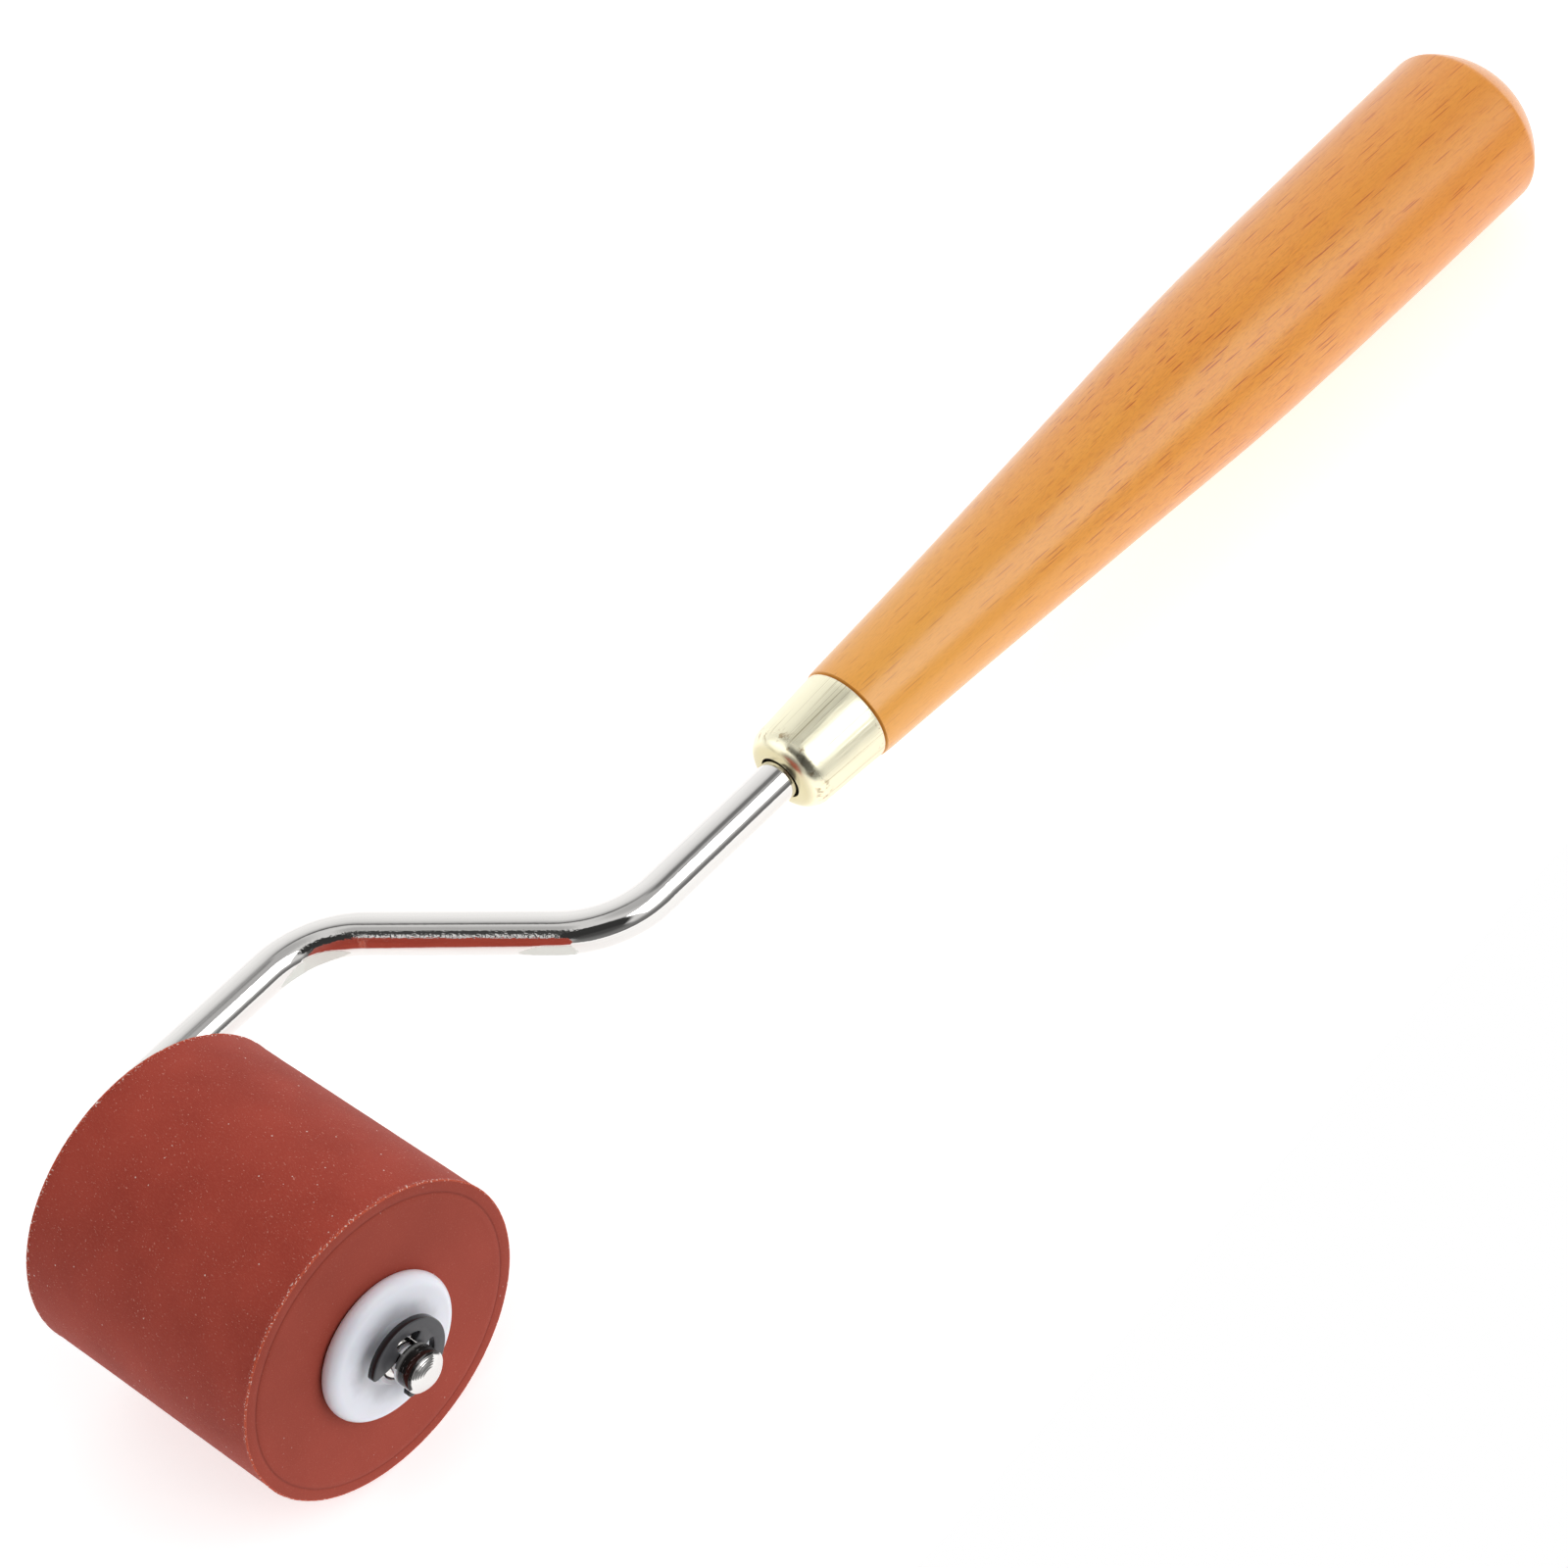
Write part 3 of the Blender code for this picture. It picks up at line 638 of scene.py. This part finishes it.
def beech_material():
    """Lacquered beech: warm grain, dark ray flecks and a soft rippled clear coat."""
    r = new_recipe("beech")
    place = r.place(rest_tilt())
    wander = r.noise(r.scaled(place, (45 * MM, 12 * MM, 12 * MM)), detail=2.0)
    rings = r.noise(r.scaled(place, (70 * MM, 2.4 * MM, 2.4 * MM)), detail=3.0, distortion=0.3)
    fibre = r.noise(r.scaled(place, (4 * MM, 0.16 * MM, 0.16 * MM)), detail=3.0, roughness=0.65)
    base = r.mix(rings, *RING_BROWNS)
    base = r.mix(r.ramp(wander, 0.35, 0.7, 0.0, 0.5), base, WANDER_BROWN)
    base = r.mix(r.ramp(fibre, 0.42, 0.75, 0.0, 0.4), base, GRAIN_BROWN)
    pores = r.noise(r.scaled(place, (1.0 * MM, 0.16 * MM, 0.16 * MM)), detail=1.0)
    base = r.mix(r.ramp(pores, 0.50, 0.68, 0.0, 0.35), base, PORE_BROWN)
    slanted = r.turned(place, 2.5)
    faint = beech_flecks(r, slanted, 6 * MM, 0.38 * MM, 0.27)
    base = r.mix(r.maths("MULTIPLY", faint, 0.5), base, FAINT_FLECK)
    strong = beech_flecks(r, slanted, 13 * MM, 0.48 * MM, 0.24)
    base = r.mix(strong, base, STRONG_FLECK)
    x = r.split(place)[0]
    base = r.mix(r.ramp(x, 190 * MM, 245 * MM, 0.0, 0.35), base, BUTT_BROWN)
    # Painted light: the grip is drawn lighter and yellower towards the neck.
    base = r.mix(r.ramp(x, 180 * MM, 112 * MM, 0.0, 0.5), base, NECK_PAINTED_LIGHT)
    # Painted shade: the wood inside the ferrule is drawn near black, so that the gaps at its mouth and
    # round the rod look dark.
    in_cup = r.ramp(x, HANDLE_SHOULDER_X - 0.45 * MM, HANDLE_SHOULDER_X - 1.15 * MM)
    base = r.mix(in_cup, base, CUP_PAINTED_SHADE)
    ripple = r.noise(r.scaled(place, (0.45 * MM, 3 * MM, 3 * MM)), detail=2.0)
    stipple = r.noise(r.scaled(place, (0.40 * MM, 0.25 * MM, 0.25 * MM)), detail=1.0)
    r.surface(Base_Color=base, Roughness=r.ramp(fibre, 0.3, 0.7, 0.42, 0.55),
              Normal=r.bump(fibre, 0.008 * MM), Sheen_Weight=0.08,
              Coat_Weight=0.7, Coat_Roughness=0.22,
              Coat_Normal=r.bump(stipple, 0.012 * MM, r.bump(ripple, 0.01 * MM)))
    return r.owner


def floor_material():
    """Plain pale lit board with a barely visible tooth."""
    r = new_recipe("floor")
    tooth = r.noise(r.scaled(r.place(), (2 * MM,) * 3), detail=2.0)
    r.surface(Base_Color=r.mix(tooth, *FLOOR_GREYS), Roughness=0.9,
              Emission_Color=(1.0, 1.0, 1.0, 1.0), Emission_Strength=FLOOR_GLOW)
    return r.owner


# ---------------------------------------------------------------- roller

def end_face_line():
    """Half of the sleeve's section, from the middle of its bore to the lip, as (distance, radius)."""
    half = ROLLER_HALF_WIDTH
    return [(half - SEAT_DEPTH, SLEEVE_BORE_RADIUS),
            (half - SEAT_DEPTH, SEAT_RADIUS),
            (half, SEAT_RADIUS + 0.1 * MM),
            (half, RING_RADIUS - RING_WIDTH),
            (half - RING_DEPTH, RING_RADIUS),
            (half - 0.3 * RING_DEPTH, RING_RADIUS + RING_WIDTH),
            (half - 0.3 * RING_DEPTH, LIP_RADIUS - 0.2 * MM),
            (half - 0.06 * MM, LIP_RADIUS - 0.04 * MM),
            (half - 0.12 * MM, LIP_RADIUS),
            (half - LIP_WIDTH, LIP_RADIUS - 0.01 * MM),
            (half - LIP_WIDTH - 0.15 * MM, TREAD_RADIUS)]


def sleeve_outline():
    half = end_face_line()
    front = [(-along, radius) for along, radius in half]
    tread = spaced([front[-1], half[-1]], TREAD_STEP)
    bore = spaced([half[0], front[0]], 4 * MM)
    faces = spaced(front, 0.8 * MM)[:-1]
    return [*faces, *tread, *spaced(half[::-1], 0.8 * MM)[1:-1], *bore[:-1]]


def ground_rubber(along, radius, turn):
    """Slight unevenness of the ground tread, and nicks along its lip."""
    if radius < 22.3 * MM:
        return along, radius
    spot = Vector((radius * math.cos(turn), along, radius * math.sin(turn))) / MM
    uneven = 0.02 * noise.noise(spot / 2.5) + 0.012 * noise.noise(spot / 0.9)
    nicks = 0.05 * max(0.0, noise.noise(spot / 0.5)) if radius > TREAD_RADIUS else 0.0
    return along, min(radius + (uneven - 0.02 - nicks) * MM, LIP_RADIUS)


def bush_outline(side):
    """Closed section of a flanged bush: body, round rim, dished face and hub."""
    rim_centre = (FLANGE_RIM_CENTRE, FLANGE_RADIUS - FLANGE_RIM_RADIUS)
    front = FLANGE_RIM_CENTRE + FLANGE_RIM_RADIUS
    back_angle = 90 + math.degrees(math.asin((FLANGE_RIM_CENTRE - FLANGE_BACK) / FLANGE_RIM_RADIUS))
    foot = (front - FLANGE_DISH, HUB_FOOT_RADIUS)
    face = smooth_through([(front, rim_centre[1]), (front, FLANGE_FLAT_RADIUS), foot], 8)
    section = [(BUSH_BODY_END, BUSH_BORE_RADIUS),
               (BUSH_BODY_END, BUSH_BODY_RADIUS),
               (FLANGE_BACK, BUSH_BODY_RADIUS),
               *arc(rim_centre, FLANGE_RIM_RADIUS, back_angle, 0, 20)[:-1],
               *face,
               *smooth_through([foot, (front + 0.1 * MM, HUB_RADIUS + 0.15 * MM),
                                (front + 0.5 * MM, HUB_RADIUS)], 4)[1:],
               (HUB_END - 0.15 * MM, HUB_RADIUS),
               (HUB_END, HUB_RADIUS - 0.15 * MM),
               (HUB_END, BUSH_BORE_RADIUS)]
    return [(side * along, radius) for along, radius in section]


def make_roller():
    centre = Matrix.Translation(AXLE_CENTRE)
    sleeve = turned(sleeve_outline(), Y_AXIS, TREAD_SIDES, True, ground_rubber)
    piece("tyre", sleeve, silicone_material(), centre, "roller", "silicone_tyre")
    nylon = nylon_material()
    for name, side in (("outer", -1), ("inner", 1)):
        bush = turned(bush_outline(side), Y_AXIS, BUSH_SIDES, True)
        piece(name + "_flanged_bush", bush, nylon, centre, "roller", name + "_bush")
    frame["nodes"]["core_tube"].material_slots[0].material = aluminium_material()


# ---------------------------------------------------------------- crank rod

def rod_path():
    """Centreline of the rod from the tang to the middle of the axle, with a point every step."""
    path = filleted([(TANG_END_X - TANG_CHAMFER, 0.0), (CRANK_TOP_X, 0.0),
                     (CRANK_FOOT_X, CRANK_OFFSET_Y), (0.0, CRANK_OFFSET_Y), (0.0, 0.0)],
                    [CRANK_BEND_RADIUS, CRANK_BEND_RADIUS, AXLE_BEND_RADIUS], math.radians(2))
    return spaced(path, ROD_STEP)


def axle_end():
    """Stations of the axle beyond the middle of the roller: clip groove, turned end and dome."""
    low = -CLIP_BACK + GROOVE_SIDE_GAP
    high = -CLIP_BACK - CLIP_THICKNESS - GROOVE_SIDE_GAP
    edge = 0.08 * MM
    groove = [(low + edge, ROD_RADIUS), (low, ROD_RADIUS - edge), (low, GROOVE_RADIUS),
              (high, GROOVE_RADIUS), (high, ROD_RADIUS - edge), (high - edge, ROD_RADIUS)]
    sphere = (ROD_RADIUS ** 2 + AXLE_DOME_HEIGHT ** 2) / (2 * AXLE_DOME_HEIGHT)
    centre = AXLE_DOME_START + AXLE_DOME_HEIGHT - sphere
    start = math.asin(ROD_RADIUS / sphere)
    end = math.asin(AXLE_DOME_FLAT / sphere)
    dome = []
    for i in range(DOME_STEPS + 1):
        slope = start + (end - start) * i / DOME_STEPS
        # Two waves out of step make the turning marks uneven, and they fade towards the middle.
        cut = TURNING_DEPTH * (math.sin(i * 1.9) + math.sin(i * 0.7)) * (1 - 0.6 * i / DOME_STEPS)
        dome.append((-centre - (sphere - abs(cut)) * math.cos(slope), sphere * math.sin(slope)))
    face = dome[-1][0]
    flat = [(face + 0.3 * TURNING_DEPTH * (i % 2), AXLE_DOME_FLAT * (1 - i / FLAT_STEPS))
            for i in range(1, FLAT_STEPS)]
    return [*groove, *dome, *flat]


def stations():
    """(point, radius, distance along the bar) for each ring of the rod."""
    path = rod_path()
    tang = ((TANG_END_X, 0.0), ROD_RADIUS - TANG_CHAMFER)
    rings = [tang] + [(point, ROD_RADIUS) for point in path]
    rings += [((0.0, y), radius) for y, radius in axle_end()]
    found = []
    travelled = 0.0
    last = rings[0][0]
    for point, radius in rings:
        travelled += math.dist(last, point)
        found.append((point, radius, travelled))
        last = point
    return found


def along_at(x, y):
    """Distance along the bar of the path's point nearest to a place in the crank's plane."""
    return min(stations(), key=lambda station: math.dist(station[0], (x, y)))[2]


def heading(points, i):
    """Direction of the bar at a station: straight along the axle, else the mean of both runs."""
    if abs(points[i].x) < 0.001 * MM:
        return -Y_AXIS
    runs = (b - a for a, b in zip(points[max(i - 1, 0):i + 1], points[max(i, 1):i + 2]))
    return sum((run.normalized() for run in runs if run.length > 0.001 * MM), Vector())


def press_marks(bend_one, bend_two):
    """The bending tool's marks, with their starts and ends as distances along the bar."""
    ridge = bend_two + RIDGE_PAST_BEND
    placed = [(bend_one, BEND_MARK), *((ridge, mark) for mark in RIDGE_MARKS)]
    return [(at + start, at + end, *shape) for at, (start, end, *shape) in placed]


def pressed_bar(radius, distance, turn, marks):
    """Radius that the press marks leave at a place on the bar, and how frosted the place is."""
    reach = radius
    frosted = 0.0
    for start, end, rise, fall, direction in marks:
        flat = radius - PRESS_DEPTH * bump(distance, start, end, rise, fall)
        facing = math.cos(turn - math.radians(direction))
        if facing > 0 and radius * facing > flat:
            reach = min(reach, flat / facing)
            frosted = max(frosted, min(1.0, (radius * facing - flat) / FROST_EDGE))
    return reach, frosted


def make_rod(tool):
    """The bar as one skin, with attributes that tell its material where it is pressed or pitted, and
    where a dark reflection is painted.
    """
    rings = stations()
    bend_one = along_at(*BEND_ONE_MIDDLE)
    bend_two = along_at(*BEND_TWO_MIDDLE)
    marks = press_marks(bend_one, bend_two)
    bm = bmesh.new()
    bar = bm.verts.layers.float_vector.new("bar")
    pressed = bm.verts.layers.float.new("pressed")
    pitted = bm.verts.layers.float.new("pitted")
    dark_reflection = bm.verts.layers.float.new("dark_reflection")
    points = [Vector((*point, 0.0)) for point, _, _ in rings]
    loops = []
    for i, (_, radius, distance) in enumerate(rings):
        across = UP.cross(heading(points, i).normalized())
        between_bends = bump(distance, bend_one, bend_two, 6 * MM, 4 * MM)
        past_clip = bump(-points[i].y, CLIP_FRONT + 0.8 * MM, AXLE_DOME_START, 0.3 * MM, 0.4 * MM)
        loop = []
        for k in range(ROD_SIDES):
            turn = math.tau * k / ROD_SIDES
            degrees = math.degrees(turn)
            reach, frosted = pressed_bar(radius, distance, turn, marks)
            vert = bm.verts.new(points[i] + reach * (across * math.cos(turn) + UP * math.sin(turn)))
            vert[bar] = (distance, radius * math.cos(turn), radius * math.sin(turn))
            vert[pressed] = frosted
            vert[pitted] = between_bends * bump(degrees, *PITTED_TURNS, 8.0, 8.0)
            # Where the painted dark reflection lies on the axle's end.
            vert[dark_reflection] = past_clip * bump(degrees, *DARK_REFLECTION_TURNS, 30.0, 14.0)
            loop.append(vert)
        loops.append(loop)
    for loop, following in zip(loops, loops[1:]):
        join_rings(bm, loop, following)
    bm.faces.new(loops[0])
    bm.faces.new(loops[-1])
    piece("bent_rod", bm, bright_steel_material(), tool, "frame", "crank_rod")


# ---------------------------------------------------------------- clips

def clip_outline(turn):
    """Outline of an E-shaped retaining clip in (x, z), its mouth turned to the given angle."""

    def half(sign):
        """Inner edge of one jaw, from the mouth round to the middle of the far prong."""
        return [*arc((0, 0), CLIP_PRONG_RADIUS, turn + sign * (CLIP_MOUTH_INNER_ANGLE + 4),
                     turn + sign * CLIP_JAW_ANGLE, 10),
                *arc((0, 0), CLIP_SLOT_RADIUS, turn + sign * CLIP_SLOT_START_ANGLE,
                     turn + sign * CLIP_SLOT_END_ANGLE, 16),
                *arc((0, 0), CLIP_PRONG_RADIUS, turn + sign * CLIP_PRONG_ANGLE, turn + sign * 180, 6)]

    def mouth_edge(sign):
        """Slanted end of one jaw, with its outer corner broken, from inside to outside."""
        inner = polar(CLIP_MOUTH_INNER_RADIUS, turn + sign * CLIP_MOUTH_INNER_ANGLE)
        outer = polar(CLIP_OUTER_RADIUS, turn + sign * CLIP_MOUTH_ANGLE)
        cut = outer + (inner - outer).normalized() * CLIP_CORNER_RADIUS
        return [tuple(inner), tuple(cut)]

    inside = half(1) + half(-1)[-2::-1]
    corner = math.degrees(CLIP_CORNER_RADIUS / CLIP_OUTER_RADIUS)
    rim = arc((0, 0), CLIP_OUTER_RADIUS, turn - CLIP_MOUTH_ANGLE - corner,
              turn - 360 + CLIP_MOUTH_ANGLE + corner, 90)
    return [*inside, *mouth_edge(-1), *rim, *reversed(mouth_edge(1))]


def softened(outline, reach):
    """Closed outline with its corners rounded, each point averaged with those within reach."""
    dense = spaced([*outline, outline[0]], 0.1 * reach)[:-1]
    count = len(dense)
    soft = []
    for i in range(0, count, 2):
        near = [dense[(i + k) % count] for k in range(-10, 11, 2)]
        soft.append(tuple(sum(values) / len(near) for values in zip(*near)))
    return soft


def inset(outline, amount):
    """Closed outline drawn in to its inner side by an amount."""
    points = [Vector(point) for point in outline]
    drawn = []
    for i, point in enumerate(points):
        before = (point - points[i - 1]).normalized()
        after = (points[(i + 1) % len(points)] - point).normalized()
        normal = Vector((before.y + after.y, -before.x - after.x)).normalized()
        stretch = max(0.5, normal.dot(Vector((before.y, -before.x))))
        drawn.append(tuple(point + normal * amount / stretch))
    return drawn


def clip_body(turn, side):
    """Flat blanked clip with a rounded front edge and a slightly broken back edge."""
    outline = softened(clip_outline(turn), CLIP_ROUNDING)
    edge = CLIP_EDGE_RADIUS
    layers = [(0.0, 0.06 * MM), (0.06 * MM, 0.0)]
    layers += [(CLIP_THICKNESS - edge + edge * math.sin(t), edge * (1 - math.cos(t)))
               for t in (math.radians(18 * i) for i in range(6))]
    bm = bmesh.new()
    rings = []
    for depth, amount in layers:
        y = side * (CLIP_BACK + depth)
        rings.append([bm.verts.new((x, y, z)) for x, z in inset(outline, amount)])
    for ring, following in zip(rings, rings[1:]):
        join_rings(bm, ring, following)
    bm.faces.new(rings[0])
    bm.faces.new(rings[-1])
    return bm


def make_clips(tool):
    black = black_steel_material()
    for name, turn, side in (("outer", OUTER_CLIP_TURN, -1), ("inner", INNER_CLIP_TURN, 1)):
        piece(name + "_e_clip", clip_body(turn, side), black, tool, "frame",
              name + "_clip")


# ---------------------------------------------------------------- ferrule and handle

def ferrule_radius(x):
    """Outer radius of the cup's conical wall."""
    along = (x - FERRULE_NOSE_X) / (FERRULE_MOUTH_X - FERRULE_NOSE_X)
    return FERRULE_NOSE_RADIUS + along * (FERRULE_MOUTH_RADIUS - FERRULE_NOSE_RADIUS)


def cup_line(start_radius, inset_by):
    """Nose, rounded corner and wall of the cup, set in from its outer skin."""
    nose = FERRULE_NOSE_X + inset_by
    return filleted([(nose, start_radius), (nose, ferrule_radius(nose) - inset_by),
                     (FERRULE_MOUTH_X, FERRULE_MOUTH_RADIUS - inset_by)],
                    [FERRULE_CORNER_RADIUS - inset_by], math.radians(5))


def ferrule_outline():
    """Closed section of the cup: rolled lip round its hole, nose, wall and eased mouth."""
    lip = FERRULE_LIP_RADIUS
    lip_centre = (FERRULE_NOSE_X + lip, FERRULE_HOLE_RADIUS + lip)
    outer = cup_line(FERRULE_HOLE_RADIUS + lip, 0.0)
    inner = cup_line(FERRULE_HOLE_RADIUS, FERRULE_WALL)
    mouth = (FERRULE_MOUTH_X, outer[-1][1])
    eased = [(mouth[0] - 0.15 * MM, mouth[1] - 0.005 * MM), (mouth[0] - 0.04 * MM, mouth[1] - 0.04 * MM),
             (mouth[0], mouth[1] - 0.15 * MM)]
    line = [*arc(lip_centre, lip, 270, 180, 6)[:-1], *outer[:-1], *eased, *inner[::-1]]
    return spaced(line, 1.0 * MM)


def drawn_brass(along, radius, turn):
    """Faint dents and flats left on the cup by drawing and handling."""
    if radius < FERRULE_HOLE_RADIUS + 1.0 * MM or radius < ferrule_radius(along) - 0.4 * MM:
        return along, radius
    spot = Vector((along, radius * math.cos(turn), radius * math.sin(turn))) / MM
    dent = 0.03 * noise.noise(spot / 5.0) + 0.008 * noise.noise(spot / 1.3)
    return along, radius + (dent - 0.03) * MM


def grip_outline(steps, corner_steps, dome_steps):
    """Outer line of the handle, from its shoulder to the axis at the butt."""
    grip = smooth_through(HANDLE_GRIP, steps)
    corner_y = HANDLE_GRIP[-1][1] - HANDLE_CORNER_RADIUS
    dome_centre = HANDLE_END_X - HANDLE_DOME_RADIUS
    reach = HANDLE_DOME_RADIUS - HANDLE_CORNER_RADIUS
    corner_x = dome_centre + math.sqrt(reach ** 2 - corner_y ** 2)
    meet = math.degrees(math.asin(corner_y / reach))
    corner = arc((corner_x, corner_y), HANDLE_CORNER_RADIUS, 90, meet, corner_steps)
    dome = arc((dome_centre, 0.0), HANDLE_DOME_RADIUS, meet, 0, dome_steps)
    return [*grip, *corner[1:], *dome[1:-1], (HANDLE_END_X, 0.0)]


def handle_outline():
    spigot = cup_line(HANDLE_BORE_RADIUS, HANDLE_SPIGOT_INSET)
    foot = (HANDLE_SHOULDER_X, spigot[-1][1])
    grip = grip_outline(20, 12, 36)
    edge = HANDLE_SHOULDER_EDGE
    eased = [(grip[0][0], grip[0][1] - edge), (grip[0][0] + 0.3 * edge, grip[0][1] - 0.3 * edge)]
    return [(HANDLE_BORE_END_X, 0.0), (HANDLE_BORE_END_X, HANDLE_BORE_RADIUS),
            *spigot[:-1], foot, *eased, *grip[1:]]


def sanded_wood(along, radius, turn):
    """Slight hand-sanded waviness of the grip."""
    if along < HANDLE_SHOULDER_X + 1 * MM or radius < 6 * MM:
        return along, radius
    spot = Vector((along / 4, radius * math.cos(turn), radius * math.sin(turn))) / MM
    wave = 0.03 * noise.noise(spot / 6.0)
    return along, radius + (wave - 0.03) * MM


def make_handle(tool):
    handle = turned(handle_outline(), X_AXIS, HANDLE_SIDES, False, sanded_wood)
    piece("turned_handle", handle, beech_material(), tool, "frame", "handle")
    ferrule = turned(ferrule_outline(), X_AXIS, FERRULE_SIDES, True, drawn_brass)
    piece("brass_ferrule", ferrule, brass_material(), tool, "frame", "ferrule")


def rest_tilt():
    """Turn about the roller's axis that brings the handle's lowest ring down to the floor.

    It is found on a grip line with as few steps as the CAD's, so that both models tip alike.
    """
    return min(math.asin(AXLE_CENTRE.z / math.hypot(x, r)) - math.atan2(r, x)
               for x, r in grip_outline(3, 2, 6))


# ---------------------------------------------------------------- studio

def make_floor():
    """Flat board under the object, larger than any view of it behind and to the right."""
    bm = bmesh.new()
    corners = ((FLOOR_LEFT, FLOOR_FRONT), (FLOOR_REACH, FLOOR_FRONT),
               (FLOOR_REACH, FLOOR_REACH), (FLOOR_LEFT, FLOOR_REACH))
    bm.faces.new([bm.verts.new((x, y, 0.0)) for x, y in corners])
    mesh = bpy.data.meshes.new("floor")
    bm.to_mesh(mesh)
    bm.free()
    mesh.materials.append(floor_material())
    floor = bpy.data.objects.new("floor", mesh)
    bpy.context.scene.collection.objects.link(floor)


def make_camera():
    data = bpy.data.cameras.new("camera")
    data.lens = CAMERA_LENS
    data.sensor_width = CAMERA_SENSOR
    camera = bpy.data.objects.new("camera", data)
    heading = Matrix.Rotation(math.radians(-CAMERA_HEADING), 4, "Z")
    pitch = Matrix.Rotation(math.radians(90 - CAMERA_PITCH), 4, "X")
    roll = Matrix.Rotation(math.radians(CAMERA_ROLL), 4, "Z")
    camera.matrix_world = Matrix.Translation(CAMERA_LOCATION) @ heading @ pitch @ roll
    bpy.context.scene.collection.objects.link(camera)
    bpy.context.scene.camera = camera


def make_world():
    """A pale light tent with a seam, a lamp and some openings.  The camera itself sees white."""
    world = bpy.data.worlds.new("studio")
    bpy.context.scene.world = world
    sky = Recipe(world)
    direction = sky.node("TexCoord", {}).outputs["Generated"]

    def towards(target):
        unit = tuple(Vector(target).normalized())
        return sky.node("VectorMath", {0: direction, 1: unit}, operation="DOT_PRODUCT").outputs["Value"]

    def opened(level, share, radiance):
        return sky.node("Mix", {"Factor": share, "A": level, "B": radiance}).outputs["Result"]

    level = sky.steps(towards(SEAM_NORMAL), CLOTH_LEVELS)
    for target, radiance, inner, outer in PATCHES:
        share = sky.ramp(towards(target), math.cos(math.radians(outer)), math.cos(math.radians(inner)))
        level = opened(level, share, radiance)
    # Below the horizon and to the front, past the floor's edge.
    _, y, z = sky.split(direction)
    low = sky.maths("MULTIPLY", sky.ramp(z, 0.30, -0.02), sky.ramp(z, -0.45, -0.20))
    level = opened(level, sky.maths("MULTIPLY", low, sky.ramp(y, -0.40, -0.60)), FRONT_LEVEL)
    seen = sky.node("LightPath", {}).outputs["Is Camera Ray"]
    level = opened(level, seen, 1.0)
    background = sky.tree.nodes["Background"]
    background.inputs["Color"].default_value = (1.0, 1.0, 1.0, 1.0)
    sky.feed(background.inputs["Strength"], level)


def make_key_light():
    """Large softbox, facing the middle of the roller."""
    data = bpy.data.lights.new("softbox", "AREA")
    data.shape = "RECTANGLE"
    data.size, data.size_y = KEY_SIZE
    data.energy = KEY_RADIANCE * math.pi * KEY_SIZE[0] * KEY_SIZE[1]
    light = bpy.data.objects.new("softbox", data)
    direction = Vector(KEY_DIRECTION).normalized()
    light.matrix_world = (Matrix.Translation(AXLE_CENTRE + direction * KEY_DISTANCE)
                          @ direction.to_track_quat("Z", "Y").to_matrix().to_4x4())
    bpy.context.scene.collection.objects.link(light)


def main():
    tool = Matrix.Translation(AXLE_CENTRE) @ Matrix.Rotation(rest_tilt(), 4, "Y")
    make_roller()
    make_rod(tool)
    make_clips(tool)
    make_handle(tool)
    make_floor()
    make_camera()
    make_world()
    make_key_light()
    bpy.context.scene.view_settings.view_transform = "Standard"


main()
